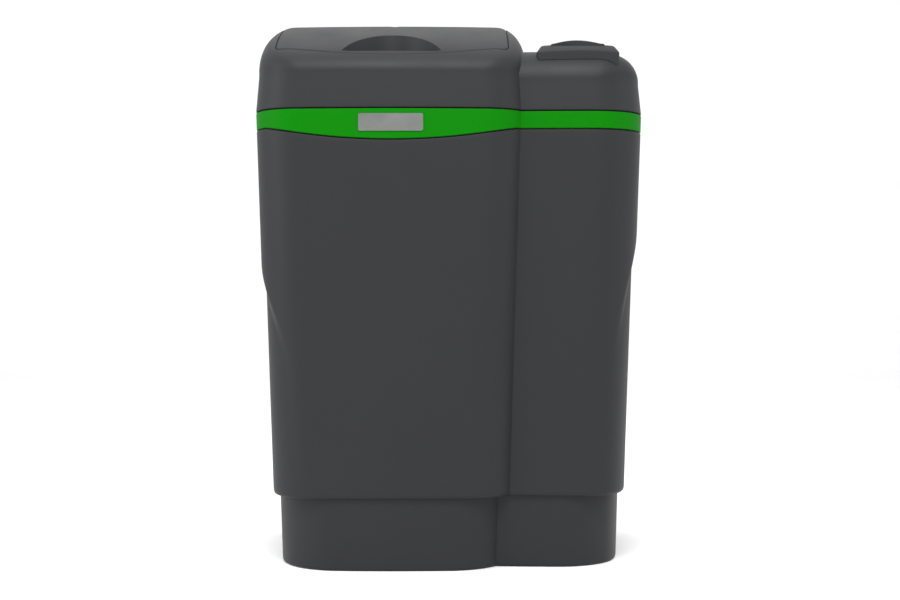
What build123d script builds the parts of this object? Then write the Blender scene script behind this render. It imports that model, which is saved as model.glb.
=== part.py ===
# Whole house water filter in a twin-lobe cabinet: salt lobe with a fill lid, tank lobe with a service cap
# Millimetres. X to the right, Y to the rear, Z up; the origin is on the floor under the middle of the cabinet
import os
from math import acos, atan2, cos, degrees, hypot, pi, radians, sin, sqrt, tan

from build123d import *

# Cabinet outline, measured at the top edge of the trim band
lobe_left = -321.5
lobe_divide = 131.5
lobe_right = 321.5
cabinet_front = -205.0
cabinet_rear = 205.0
tank_lobe_setback = 35.0
salt_corner_radius = 80.0
tank_corner_radius = 84.0
rear_corner_radius = 30.0
front_bow_radius = 1960.0
lobe_overlap = 70.0
draft_angle = 1.8
cabinet_wall = 4.0

# Heights of the cabinet
plinth_height = 118.0
plinth_inset = 7.6
plinth_edge_radius = 8.0
plinth_edge_chamfer = 4.8
plinth_edge_soft = 2.4
plinth_edge_lip = 1.76
plinth_corner_growth = 34.0
foot_edge_radius = 7.0
foot_edge_chamfer = 3.4
foot_edge_soft = 2.1
foot_edge_lip = 1.2
band_bottom = 720.5
band_top = 748.0
shell_gap = 2.2
salt_lobe_top = 912.0
tank_lobe_top = 854.0
partition_height = 678.0

# Shoulders of the top cover
lean_inset = 4.4
salt_shoulder_height = 104.0
salt_shoulder_side = 40.0
salt_shoulder_front = 174.0
salt_shoulder_rear = 32.0
salt_top_corner_radius = 12.0
tank_shoulder_height = 56.0
tank_shoulder_side = 52.0
tank_shoulder_front = 60.0
tank_shoulder_rear = 30.0
tank_top_corner_radius = 36.0
shoulder_steps = 14

# Recess on each flank of the body
recess_depth = 7.0
recess_margin = 12.5
recess_spring_height = 308.0
salt_recess_rise = 248.0
tank_recess_rise = 313.0

# Trim band and badge
lens_half_width = 205.0
lens_drop = 20.5
tongue_wall = 2.6
tongue_overlap = 12.0
fit_gap = 0.4
badge_width = 104.0
badge_height = 28.0
badge_height_above_floor = 726.0
badge_proud = 1.5
badge_sunk = 1.0
badge_corner_radius = 3.0

# Fill lid
lid_half_width = 190.5
lid_front_depth = 20.0
lid_front_bow = 2200.0
lid_corner_radius = 20.0
lid_wall = 3.5
lid_gap = 1.4
seat_gap = 0.4
ledge_width = 6.0
ledge_thickness = 3.1
hinge_from_rear = 58.0
hinge_below_top = 3.0
hinge_barrel_radius = 4.5
hinge_pin_radius = 2.5
hinge_barrel_width = 40.0
hinge_station_offset = 130.0
ear_width = 10.0
hinge_edge_gap = 7.0
hinge_side_gap = 1.0
running_gap = 0.05
notch_half_width = 90.0
notch_depth = 119.0
notch_floor = 844.0
notch_from_front = -30.0

# Service cap
cap_centre = 210.5
cap_width = 136.0
cap_front_depth = 19.0
cap_length = 221.0
cap_top = 859.0
cap_crown = 4.0
cap_wall = 3.0
cap_seat_gap = 1.5
cap_corner_radius = 14.0
cap_edge_radius = 7.0
grip_half_width = 50.0
grip_rise = 13.0
grip_proud = 12.4
grip_root = 6.0
grip_setback = 10.0
grip_length = 78.0
scoop_half_width = 41.0
scoop_depth = 18.0
scoop_sink = 1.0
cap_ledge = 10.0
collar_wall = 2.5
collar_height = 1.6
cap_pin_radius = 1.5
cap_barrel_radius = 3.5
cap_barrel_width = 50.0
cap_ear_width = 7.5
cap_hinge_height = 858.5
cap_hinge_gap = 5.0

# Rear screws
screw_radius = 2.0
screw_head_radius = 4.0
screw_head_height = 2.4
screw_length = 12.0
screw_slot_reach = 2.4
screw_slot_width = 1.0
screw_boss_radius = 5.5
screw_boss_depth = 10.0
boss_margin = 1.0
screw_offset_from_band = 8.5
screw_places = (-250.0, -60.0, 60.0, 262.0)
rear_panel_bottom = 538.0
panel_margin = 4.0

# Rear window for the pipes
window_left = 82.0
window_right = 250.0
window_bottom = 560.0
window_top = 672.0
window_corner_radius = 12.0

# Media tank
tank_x = 168.0
tank_y = 25.0
tank_radius = 101.6
tank_wall = 4.0
tank_height = 560.0
tank_dome_height = 40.0
tank_crown_height = 46.0
tank_neck_radius = 42.0
tank_neck_height = 14.0
neck_bore_radius = 36.0
boot_wall = 3.0
boot_floor = 4.0
boot_height = 52.0
boot_gap = 0.3
gravel_depth = 78.0
media_depth = 300.0
media_gap = 0.5
riser_radius = 13.35
riser_wall = 2.0
riser_lift = 40.0
riser_engagement = 24.0
slide_gap = 0.25
lower_screen_radius = 22.0
lower_screen_height = 40.0
upper_screen_radius = 30.0
upper_screen_height = 34.0
slit_width = 1.6
slit_rows = 4
thread_radius = 31.7
insert_depth = 24.0
insert_flange = 3.0
neck_seal_thickness = 3.0

# Control valve
flange_radius = 46.0
flange_thickness = 16.0
block_half_width = 44.0
block_front = 40.0
block_rear = 45.0
barrel_rise = 54.0
barrel_radius = 32.0
barrel_bore = 22.0
barrel_front = 75.0
barrel_rear = 55.0
stack_spacers = 5
spacer_length = 14.0
seal_length = 5.0
stack_gap = 0.2
piston_radius = 13.8
piston_length = 60.0
piston_rod_radius = 4.0
piston_travel = 28.0
plug_nose = 10.0
plug_flange = 8.0
port_spacing = 64.0
port_radius = 17.0
port_bore = 13.0
port_drop = 32.0
port_length = 125.0
riser_passage_radius = 10.0
cross_passage_radius = 8.0
injector_radius = 5.0
injector_length = 24.0
injector_setback = 29.0
injector_drop = 36.0
injector_cap_radius = 11.0
injector_cap_length = 12.0
tube_radius = 4.75
tube_wall = 0.8
elbow_radius = 8.0

# Drive train
bracket_thickness = 4.0
bracket_half_width = 38.0
module = 1.0
drive_teeth = 48
wheel_teeth = 36
pinion_teeth = 12
gear_face = 10.0
wheel_face = 6.0
gear_backlash = 0.16
gear_gap = 0.3
gear_axle_radius = 2.5
gear_axle_cap = 2.0
motor_radius = 18.0
motor_length = 28.0
motor_shaft_radius = 1.5
motor_screw_spacing = 30.0
motor_screw_radius = 1.5

# Control housing
housing_left = 130.0
housing_right = 272.0
housing_front = -118.0
housing_rear = 38.0
housing_bottom = 782.0
housing_top = 828.0
housing_wall = 2.5
housing_corner_radius = 8.0
shelf_thickness = 3.0
board_thickness = 1.6
board_drop = 22.0
board_margin = 4.0
board_post_radius = 4.0
window_width = 64.0
window_depth = 30.0
window_thickness = 2.0
window_lip = 2.0
window_proud = 0.5
button_radius = 6.0
button_flange = 1.8
button_flange_thickness = 1.5
button_proud = 3.0
button_travel = 1.2
button_spacing = 24.0
button_gap = 0.1
switch_height = 8.0
switch_size = 6.0
button_clearance = 0.8

# Flow meter
turbine_radius = 12.3
turbine_length = 12.0
turbine_vanes = 6
turbine_hub = 4.0
turbine_axle = 1.0
cage_length = 8.0
cage_spokes = 3

# Bypass valve
gasket_thickness = 2.0
bypass_length = 112.0
housing_setback = 72.0
rotor_radius = 16.0
rotor_housing_radius = 21.0
rotor_housing_rise = 30.0
rotor_floor = 4.0
rotor_housing_drop = 24.0
rotor_bore = 12.0
rotor_end_gap = 0.3
stem_radius = 7.0
bonnet_thickness = 6.0
handle_length = 50.0
handle_width = 14.0
handle_height = 13.0
handle_lift = 1.0
cross_tube_radius = 12.0
cross_tube_bore = 8.0
clip_thickness = 3.0
clip_length = 14.0
clip_mouth = 14.0
nut_radius = 23.0
nut_length = 26.0
nut_overlap = 12.0
nut_ribs = 12
tail_radius = 13.35
tail_neck_radius = 12.9
tail_bore = 10.5
tail_length = 48.0
tail_flange = 3.0

# Drain, overflow and power
drain_reach = 28.0
drain_setback = 15.0
drain_drop = 11.0
drain_end = 228.0
drain_bore = 5.5
barb_radius = 8.0
barb_step = 1.2
barb_count = 3
barb_pitch = 7.0
overflow_x = -120.0
overflow_z = 568.0
overflow_flange_radius = 16.0
overflow_flange_thickness = 3.0
overflow_reach = 24.0
overflow_drop = 44.0
overflow_bend_radius = 12.0
overflow_nut_radius = 14.0
overflow_nut_thickness = 6.0
power_x = 266.0
power_z = 618.0
power_radius = 8.0
power_flange_radius = 11.0
power_flange_thickness = 3.0
power_length = 16.0
power_socket_radius = 2.75
power_socket_depth = 9.0
power_pin_radius = 1.05

# Salt compartment
platform_height = 130.0
platform_thickness = 6.0
platform_gap = 4.0
platform_hole = 14.0
platform_pitch = 34.0
leg_radius = 12.0
leg_wall = 2.0
partition_x = 50.0
well_x = -219.0
well_y = 137.0
well_radius = 52.0
well_wall = 2.5
well_height = 636.0
well_slot_width = 3.0
well_slot_height = 26.0
well_slot_rows = 3
well_slot_pitch = 40.0
well_cap_thickness = 3.0
well_cap_skirt = 12.0
pickup_radius = 7.0
pickup_bore = 5.0
shutoff_radius = 18.0
shutoff_height = 60.0
shutoff_bottom = 540.0
shutoff_arm = 8.0
shutoff_port_height = 26.0
air_check_radius = 14.0
air_check_height = 52.0
air_check_lift = 4.0
float_radius = 30.0
float_height = 50.0
float_bottom = 300.0
float_gap = 2.0
float_rod_radius = 2.5
float_rod_offset = 12.5
float_rod_entry = 10.0
float_travel = 20.0
float_stop_height = 3.0

# Values worked out from the sizes above
floor_top = cabinet_wall
slope = tan(radians(draft_angle))
salt_middle = (lobe_left + lobe_divide) / 2
tank_lobe_middle = (lobe_divide + lobe_right) / 2
tank_lobe_front = cabinet_front + tank_lobe_setback
body_top = band_bottom - shell_gap
cover_bottom = band_top + shell_gap
tongue_inset = cabinet_wall + fit_gap
body_screw_z = body_top - screw_offset_from_band
cover_screw_z = cover_bottom + screw_offset_from_band
tongue_bottom = band_bottom - lens_drop - tongue_overlap
tongue_top = cover_bottom + tongue_overlap
hinge_y = cabinet_rear - hinge_from_rear
hinge_z = salt_lobe_top - hinge_below_top
tank_bottom = floor_top + boot_floor
neck_top = tank_bottom + tank_height
valve_bottom = neck_top + insert_flange + neck_seal_thickness
block_bottom = valve_bottom + flange_thickness
barrel_z = block_bottom + barrel_rise
port_z = barrel_z - port_drop
barrel_front_y = tank_y - barrel_front
barrel_rear_y = tank_y + barrel_rear
port_rear_y = tank_y + port_length
port_places = (tank_x - port_spacing / 2, tank_x + port_spacing / 2)
plug_front_y = barrel_front_y - plug_flange
bracket_front_y = plug_front_y - bracket_thickness
bypass_front_y = port_rear_y + gasket_thickness
bypass_rear_y = bypass_front_y + bypass_length
nut_rear_y = bypass_rear_y - nut_overlap + nut_length
rotor_y = bypass_front_y + housing_setback
drive_pitch = module * drive_teeth / 2
wheel_pitch = module * wheel_teeth / 2
pinion_pitch = module * pinion_teeth / 2
reduction_z = barrel_z + drive_pitch + pinion_pitch
motor_z = reduction_z + wheel_pitch + pinion_pitch
drive_rear_y = bracket_front_y - gear_gap
drive_front_y = drive_rear_y - gear_face
wheel_rear_y = drive_front_y - gear_gap
wheel_front_y = wheel_rear_y - wheel_face
board_top = housing_top - board_drop
cap_front_y = tank_lobe_front + cap_front_depth
cap_rear_y = cap_front_y + cap_length
cap_hinge_y = cap_rear_y + cap_hinge_gap
collar_front_y = cap_front_y + grip_setback + scoop_depth + cap_wall + cap_seat_gap


# Plain solids between two stated faces

def block(x0, x1, y0, y1, z0, z1):
    return Pos((x0 + x1) / 2, (y0 + y1) / 2, (z0 + z1) / 2) * Box(x1 - x0, y1 - y0, z1 - z0)


def upright(x, y, z0, z1, radius):
    return Pos(x, y, (z0 + z1) / 2) * Cylinder(radius, z1 - z0)


def along_x(y, z, x0, x1, radius):
    return Pos((x0 + x1) / 2, y, z) * Rot(0, 90, 0) * Cylinder(radius, x1 - x0)


def along_y(x, z, y0, y1, radius):
    return Pos(x, (y0 + y1) / 2, z) * Rot(90, 0, 0) * Cylinder(radius, y1 - y0)


def ring(x, y, z0, z1, outer, inner):
    return upright(x, y, z0, z1, outer) - upright(x, y, z0 - 1, z1 + 1, inner)


def rounded_block(x0, x1, y0, y1, z0, z1, radius):
    plan = Pos((x0 + x1) / 2, (y0 + y1) / 2, z0) * RectangleRounded(x1 - x0, y1 - y0, radius)
    return extrude(plan, z1 - z0, dir=(0, 0, 1))


# Plan outline of one lobe: bowed front, straight sides and rear, corners as tangent arcs

def lobe_plan(left, right, front, rear, middle, bow, front_left, front_right, rear_right, rear_left):
    bow_y = front + bow

    def corner_centre(side_x, radius):
        reach = abs(middle - side_x)
        return bow_y - sqrt((bow - radius) ** 2 - reach ** 2)

    left_x = left + front_left
    right_x = right - front_right
    left_y = corner_centre(left_x, front_left)
    right_y = corner_centre(right_x, front_right)
    left_angle = degrees(atan2(left_y - bow_y, left_x - middle))
    right_angle = degrees(atan2(right_y - bow_y, right_x - middle))
    edges = [
        CenterArc((middle, bow_y), bow, left_angle, right_angle - left_angle),
        Line((right, right_y), (right, rear - rear_right)),
        Line((right - rear_right, rear), (left + rear_left, rear)),
        Line((left, rear - rear_left), (left, left_y)),
    ]
    if front_right > 0:
        edges.append(CenterArc((right_x, right_y), front_right, right_angle, -right_angle))
    if rear_right > 0:
        edges.append(CenterArc((right - rear_right, rear - rear_right), rear_right, 0, 90))
    if rear_left > 0:
        edges.append(CenterArc((left + rear_left, rear - rear_left), rear_left, 90, 90))
    if front_left > 0:
        edges.append(CenterArc((left_x, left_y), front_left, 180, 180 + left_angle))
    return make_face(edges)


def stacked(sections):
    return loft([Pos(0, 0, z) * plan.face() for z, plan in sections], ruled=True)


# Twin-lobe plan of the tub at one height, set in by the draft and by an extra amount

def tub_plan(z, extra, corner_growth=0.0):
    inset = (band_top - z) * slope + extra
    salt_corner = salt_corner_radius + corner_growth - extra
    tank_corner = tank_corner_radius + corner_growth - extra
    salt = lobe_plan(
        lobe_left + inset, lobe_divide - inset, cabinet_front + inset, cabinet_rear - extra,
        salt_middle, front_bow_radius,
        salt_corner, salt_corner, 0, rear_corner_radius - extra)
    tank = lobe_plan(
        lobe_divide - lobe_overlap, lobe_right - inset, tank_lobe_front + inset, cabinet_rear - extra,
        tank_lobe_middle, front_bow_radius,
        0, tank_corner, rear_corner_radius - extra, 0)
    return salt + tank


def tub_wall_solid(z0, z1, extra):
    return stacked([(z0, tub_plan(z0, extra)), (z1, tub_plan(z1, extra))])


# Arch that bounds the recess on one flank, as a prism across X

def recess_arch(front, rise, x0, x1, grow):
    centre = (front + cabinet_rear) / 2
    half = (cabinet_rear - front) / 2 - recess_margin + grow
    top = rise + grow
    points = [(-half, 0), (-half, -2 * recess_spring_height), (half, -2 * recess_spring_height), (half, 0)]
    arch = make_face(
        Polyline(*points) + EllipticalCenterArc((0, 0), half, top, start_angle=0, arc_size=180))
    plane = Plane(origin=(x0, centre, recess_spring_height), x_dir=(0, 1, 0), z_dir=(1, 0, 0))
    return extrude(plane * arch, x1 - x0, dir=(1, 0, 0))


def recessed(solid, grow):
    margin = 20.0
    left_arch = recess_arch(cabinet_front, salt_recess_rise, lobe_left - margin, salt_middle, grow)
    right_arch = recess_arch(tank_lobe_front, tank_recess_rise, tank_lobe_middle, lobe_right + margin, grow)
    left_cut = left_arch - Pos(recess_depth, 0, 0) * solid
    right_cut = right_arch - Pos(-recess_depth, 0, 0) * solid
    return solid - left_cut - right_cut


# Tub: stepped-in plinth, rounded lower edge, drafted walls up to the band

def tub_solid(extra, bottom, top):
    edge = plinth_height + extra
    rounding = [
        (edge, extra + plinth_edge_chamfer),
        (edge + plinth_edge_soft, extra + plinth_edge_lip),
        (edge + plinth_edge_radius, extra),
    ]
    sections = [(z, tub_plan(z, inset)) for z, inset in rounding]
    sections.append((top, tub_plan(top, extra)))
    upper = stacked(sections)
    plinth = extra + plinth_inset
    foot = [
        (bottom, plinth + foot_edge_chamfer),
        (bottom + foot_edge_soft, plinth + foot_edge_lip),
        (bottom + foot_edge_radius, plinth),
        (edge + plinth_edge_radius, plinth),
    ]
    lower = stacked([(z, tub_plan(z, inset, plinth_corner_growth)) for z, inset in foot])
    return upper + lower


def lens_cutter(gap):
    radius = (lens_half_width ** 2 + lens_drop ** 2) / (2 * lens_drop)
    low = band_bottom - lens_drop - gap
    disc = along_y(salt_middle, low + radius, cabinet_front - 20, cabinet_front + 110, radius)
    keep = block(
        lobe_left - 20, lobe_divide + 20, cabinet_front - 30, cabinet_front + 120, low - 1, band_bottom)
    return disc & keep


# Rows of rear screws: one through the cover, one through the body

def screw_holes(height, radius):
    return [along_y(x, height, cabinet_rear - 30, cabinet_rear + 10, radius) for x in screw_places]


def screw_bosses(height):
    front = cabinet_rear - tongue_inset - screw_boss_depth
    rear = cabinet_rear - tongue_inset - tongue_wall / 2
    return [along_y(x, height, front, rear, screw_boss_radius) for x in screw_places]


# Flat middle of a rear wall, made as a panel of its own with its bosses and openings

def with_rear_panel(shell, z0, z1, inset, thickness, bosses, openings):
    edge = rear_corner_radius + (band_top - z0) * slope + panel_margin
    left = lobe_left + edge
    right = lobe_right - edge
    rear = cabinet_rear - inset
    panel = block(left, right, rear - thickness, rear, z0, z1)
    for boss in bosses:
        panel += boss
    for opening in openings:
        panel -= opening
    return (shell - block(left, right, rear - 2 * thickness, rear + 1, z0, z1)) + panel


def rear_window():
    plan = RectangleRounded(window_right - window_left, window_top - window_bottom, window_corner_radius)
    plane = Plane(
        origin=((window_left + window_right) / 2, cabinet_rear + 10, (window_bottom + window_top) / 2),
        x_dir=(1, 0, 0), z_dir=(0, -1, 0))
    return extrude(plane * plan, cabinet_wall + 20, dir=(0, -1, 0))


def make_cabinet_body():
    outer = recessed(tub_solid(0, 0, body_top), 0)
    hollow = recessed(tub_solid(cabinet_wall, floor_top, body_top + 10), cabinet_wall)
    shell = outer - hollow - lens_cutter(shell_gap)
    openings = screw_holes(body_screw_z, screw_radius + fit_gap / 2) + [
        rear_window(),
        along_y(overflow_x, overflow_z, cabinet_rear - 20, cabinet_rear + 10, barb_radius),
        along_y(power_x, power_z, cabinet_rear - 20, cabinet_rear + 10, power_radius),
    ]
    body = with_rear_panel(shell, rear_panel_bottom, body_top, 0, cabinet_wall, [], openings)
    partition = block(
        partition_x, partition_x + cabinet_wall, cabinet_front, cabinet_rear, 0, partition_height)
    return body + (partition & tub_solid(cabinet_wall / 2, floor_top / 2, body_top))


# Trim band: flush outer ring with a lens-shaped front, and a tongue inside both shells
# Above the band the tongue leans in with the cover

def tongue_solid(depth):
    shoulder_foot = min(salt_lobe_top - salt_shoulder_height, tank_lobe_top - tank_shoulder_height)
    lean_height = shoulder_foot - cover_bottom
    lean = sqrt(2) * lean_inset * (tongue_top - cover_bottom) / lean_height
    overrun = 1.0 if depth > 0 else 0.0
    inset = tongue_inset + depth
    return stacked([
        (tongue_bottom - overrun, tub_plan(tongue_bottom - overrun, inset)),
        (cover_bottom, tub_plan(cover_bottom, inset + (cover_bottom - band_top) * slope)),
        (tongue_top + overrun,
         tub_plan(tongue_top + overrun, inset + lean + (tongue_top - band_top) * slope)),
    ])


def make_trim_band():
    lens_bottom = band_bottom - lens_drop
    around = block(
        2 * lobe_left, 2 * lobe_right, 2 * cabinet_front, 2 * cabinet_rear, lens_bottom - 2, band_bottom)
    outer = tub_wall_solid(lens_bottom - 1, band_top, 0) - (around - lens_cutter(0))
    band = (outer + tongue_solid(0)) - tongue_solid(tongue_wall)
    lower_top = body_screw_z + screw_boss_radius + boss_margin
    upper_bottom = cover_screw_z - screw_boss_radius - boss_margin
    for low, high, height in (
            (tongue_bottom, lower_top, body_screw_z), (upper_bottom, tongue_top, cover_screw_z)):
        band = with_rear_panel(
            band, low, high, tongue_inset, tongue_wall, screw_bosses(height),
            screw_holes(height, screw_radius))
    return band - (badge_prism(fit_gap / 2) - tub_wall_solid(tongue_bottom, band_top + 1, badge_sunk))


def badge_prism(grow):
    plan = RectangleRounded(badge_width + 2 * grow, badge_height + 2 * grow, badge_corner_radius + grow)
    plane = Plane(
        origin=(salt_middle, cabinet_front - 20, badge_height_above_floor), x_dir=(1, 0, 0),
        z_dir=(0, -1, 0))
    return extrude(plane * plan, 60, dir=(0, 1, 0))


def make_badge_plate():
    low = badge_height_above_floor - badge_height
    high = badge_height_above_floor + badge_height
    face = tub_wall_solid(low, high, -badge_proud) - tub_wall_solid(low - 1, high + 1, badge_sunk)
    return badge_prism(0) & face


# Crown of one lobe: level outlines stacked round the shoulder, sunk below the surface by a depth

def crown_sections(depth, bottom, top, height, side, front, rear):
    start = top - height
    sections = [
        (bottom, depth, depth, depth, 0.0), (start, lean_inset + depth, lean_inset + depth, depth, 0.0)]
    for step in range(1, shoulder_steps + 1):
        turn = radians(90 * step / shoulder_steps)
        z = start + (height - depth) * sin(turn)
        side_inset = lean_inset + side * (1 - cos(turn)) + depth * cos(turn)
        front_inset = lean_inset + front(turn) + depth * cos(turn)
        rear_inset = rear * (1 - cos(turn)) + depth * cos(turn)
        sections.append((z, side_inset, front_inset, rear_inset, step / shoulder_steps))
    return sections


def salt_front(turn):
    return salt_shoulder_front * sin(turn) ** 2


def tank_front(turn):
    return tank_shoulder_front * (1 - cos(turn))


def salt_crown(depth, bottom):
    sections = []
    for z, side, front, rear, share in crown_sections(
            depth, bottom, salt_lobe_top, salt_shoulder_height, salt_shoulder_side, salt_front,
            salt_shoulder_rear):
        corner = salt_corner_radius - depth + (salt_top_corner_radius - salt_corner_radius) * share
        plan = lobe_plan(
            lobe_left + side, lobe_divide - side, cabinet_front + front, cabinet_rear - rear,
            salt_middle, front_bow_radius,
            corner, corner, rear_corner_radius - depth, rear_corner_radius - depth)
        sections.append((z, plan))
    return stacked(sections)


def tank_crown(depth, bottom):
    sections = []
    for z, side, front, rear, share in crown_sections(
            depth, bottom, tank_lobe_top, tank_shoulder_height, tank_shoulder_side, tank_front,
            tank_shoulder_rear):
        corner = tank_corner_radius - depth + (tank_top_corner_radius - tank_corner_radius) * share
        plan = lobe_plan(
            lobe_divide - lobe_overlap, lobe_right - side, tank_lobe_front + front, cabinet_rear - rear,
            tank_lobe_middle, front_bow_radius,
            0, corner, rear_corner_radius - depth, 0)
        sections.append((z, plan))
    return stacked(sections)


# Upright prism over the plan of the fill lid, grown or shrunk all round

def lid_prism(grow, bottom):
    left = salt_middle - lid_half_width - grow
    right = salt_middle + lid_half_width + grow
    front = cabinet_front + lid_front_depth - grow
    rear = hinge_y - hinge_edge_gap + grow
    corner = lid_corner_radius + grow
    plan = lobe_plan(left, right, front, rear, salt_middle, lid_front_bow, corner, corner, corner, corner)
    return extrude(Pos(0, 0, bottom) * plan.face(), salt_lobe_top + 20 - bottom, dir=(0, 0, 1))


def lid_stations():
    return (salt_middle - hinge_station_offset, salt_middle + hinge_station_offset)


def cap_plan_block(inset, bottom, top):
    return rounded_block(
        cap_centre - cap_width / 2 + inset, cap_centre + cap_width / 2 - inset,
        cap_front_y + inset, cap_rear_y - inset, bottom, top, cap_corner_radius - inset / 2)


def make_top_cover():
    outer = salt_crown(0, cover_bottom) + tank_crown(0, cover_bottom)
    below_ledge = salt_crown(lid_wall + seat_gap + ledge_thickness, cover_bottom - 1)
    ledge_zone = lid_prism(ledge_width, cover_bottom) - below_ledge
    hollow = salt_crown(cabinet_wall, cover_bottom - 1) - ledge_zone
    hollow += tank_crown(cabinet_wall, cover_bottom - 1)
    cover = with_rear_panel(
        outer - hollow, cover_bottom, cover_bottom + 2 * screw_offset_from_band, 0, cabinet_wall,
        [], screw_holes(cover_screw_z, screw_radius + fit_gap / 2))
    cover -= lid_prism(lid_gap, cover_bottom) - salt_crown(lid_wall + seat_gap, cover_bottom - 1)
    cover -= lid_prism(-ledge_width, cover_bottom)
    half_notch = hinge_barrel_width / 2 + hinge_side_gap
    for x in lid_stations():
        for side in (-1, 1):
            ear_inner = x + side * (hinge_barrel_width / 2 + hinge_side_gap)
            ear_outer = ear_inner + side * ear_width
            low_x = min(ear_inner, ear_outer)
            high_x = max(ear_inner, ear_outer)
            cover += along_x(hinge_y, hinge_z, low_x, high_x, hinge_barrel_radius)
            cover += block(
                low_x, high_x, hinge_y - hinge_barrel_radius, hinge_y + hinge_barrel_radius * 2,
                hinge_z - hinge_barrel_radius, hinge_z)
        cover -= block(
            x - half_notch, x + half_notch, hinge_y - hinge_edge_gap - ledge_width - 3, hinge_y + 7,
            hinge_z - 15, salt_lobe_top + 5)
        cover -= along_x(
            hinge_y, hinge_z, x - half_notch - ear_width, x + half_notch + ear_width, hinge_pin_radius)
    cover += cap_opening(cap_ledge - collar_wall, collar_front_y, cabinet_wall, collar_height)
    cover -= cap_opening(cap_ledge, collar_front_y + collar_wall, cabinet_wall * 3, collar_height * 3)
    for side in (-1, 1):
        inner = cap_centre + side * (cap_barrel_width / 2 + hinge_side_gap / 2)
        outer_x = inner + side * cap_ear_width
        low_x = min(inner, outer_x)
        high_x = max(inner, outer_x)
        cover += along_x(cap_hinge_y, cap_hinge_height, low_x, high_x, cap_barrel_radius)
        cover += block(
            low_x, high_x, cap_hinge_y - cap_barrel_radius, cap_hinge_y + cap_barrel_radius,
            tank_lobe_top - 1, cap_hinge_height)
    cover -= along_x(
        cap_hinge_y, cap_hinge_height, cap_centre - cap_width / 2, cap_centre + cap_width / 2,
        cap_pin_radius)
    return cover


def cap_opening(inset, front, below, above):
    return rounded_block(
        cap_centre - cap_width / 2 + inset, cap_centre + cap_width / 2 - inset, front, cap_rear_y - inset,
        tank_lobe_top - below, tank_lobe_top + above, cap_corner_radius - inset / 2)


# Fill lid: a patch of the salt crown with a finger notch and two hinge barrels

def notch_prism(grow, floor):
    centre_y = cabinet_front + notch_from_front
    plan = Pos(salt_middle, centre_y, floor) * Ellipse(notch_half_width + grow, notch_depth + grow)
    return extrude(plan, salt_lobe_top + 20 - floor, dir=(0, 0, 1))


def make_fill_lid():
    patch = lid_prism(0, cover_bottom) & salt_crown(0, cover_bottom)
    lid = patch - salt_crown(lid_wall, cover_bottom - 1)
    pocket = notch_prism(lid_wall, notch_floor - lid_wall) & patch
    lid += pocket
    lid -= notch_prism(0, notch_floor)
    for x in lid_stations():
        half = hinge_barrel_width / 2
        lid += along_x(hinge_y, hinge_z, x - half, x + half, hinge_barrel_radius)
        lid += block(
            x - half, x + half, hinge_y - hinge_edge_gap - 4, hinge_y, hinge_z - 3, hinge_z + 3)
        lid -= along_x(hinge_y, hinge_z, x - half - 1, x + half + 1, hinge_pin_radius + running_gap)
    return lid


def make_lid_hinge_pins():
    reach = hinge_barrel_width / 2 + hinge_side_gap + ear_width
    return [along_x(hinge_y, hinge_z, x - reach, x + reach, hinge_pin_radius) for x in lid_stations()]


# Service cap: crowned shell that follows the shoulder below it, with an arched grip behind a scoop

def cap_crown_solid(drop, low):
    half = cap_width / 2
    radius = (half ** 2 + cap_crown ** 2) / (2 * cap_crown)
    cylinder = along_y(
        cap_centre, cap_top + cap_crown - radius - drop, cap_front_y - 20, cap_rear_y + 20, radius)
    keep = block(
        cap_centre - cap_width, cap_centre + cap_width, cap_front_y - 20, cap_rear_y + 20, low, cap_top + 30)
    return cylinder & keep


def make_service_cap():
    low = tank_lobe_top - 40
    outer = cap_plan_block(0, low, cap_top + cap_crown + 10) & cap_crown_solid(0, low)
    rims = outer.edges().filter_by_position(Axis.Z, cap_top - 1, cap_top + cap_crown + 1)
    outer = fillet(rims, cap_edge_radius)
    grip = grip_arch(0, grip_setback)
    inner = cap_plan_block(cap_wall, low - 1, cap_top + cap_crown + 10) & cap_crown_solid(cap_wall, low - 1)
    inner += grip_arch(cap_wall, grip_setback + cap_wall)
    scoop = notch_scoop(0)
    scoop_shell = notch_scoop(cap_wall) & outer
    cap = (outer + grip) - (inner - scoop_shell) - scoop
    below = Pos(0, 0, cap_seat_gap) * tank_crown(0, cover_bottom)
    cap -= below
    web_low = cap_hinge_height - 2.5
    web_high = cap_hinge_height + 2.5
    half = cap_barrel_width / 2
    cap += along_x(cap_hinge_y, cap_hinge_height, cap_centre - half, cap_centre + half, cap_barrel_radius)
    cap += block(
        cap_centre - half, cap_centre + half, cap_rear_y - cap_wall, cap_hinge_y, web_low, web_high)
    cap -= along_x(
        cap_hinge_y, cap_hinge_height, cap_centre - half - 1, cap_centre + half + 1,
        cap_pin_radius + running_gap)
    return cap


def grip_arch(inset, setback):
    half = grip_half_width - inset
    rise = grip_rise - inset
    base = cap_top + cap_crown - grip_root
    radius = (half ** 2 + rise ** 2) / (2 * rise)
    front = cap_front_y + setback
    crest = cap_top + grip_proud - inset
    arch = along_y(cap_centre, crest - radius, front, front + grip_length, radius)
    return arch & block(
        cap_centre - half, cap_centre + half, front, front + grip_length - 2 * inset,
        base - 2 * inset, cap_top + 40)


def notch_scoop(grow):
    front = cap_front_y + grip_setback
    floor = cap_top - scoop_sink
    plan = Pos(cap_centre, front, floor - grow) * Ellipse(scoop_half_width + grow, scoop_depth + grow)
    return extrude(plan, 60, dir=(0, 0, 1))


def make_cap_hinge_pin():
    reach = cap_barrel_width / 2 + hinge_side_gap / 2 + cap_ear_width
    return along_x(cap_hinge_y, cap_hinge_height, cap_centre - reach, cap_centre + reach, cap_pin_radius)


def screw_slot(x, z, half_x, half_z):
    mouth = cabinet_rear + screw_head_height
    return block(x - half_x, x + half_x, mouth - screw_head_height / 2, mouth + 1, z - half_z, z + half_z)


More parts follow.
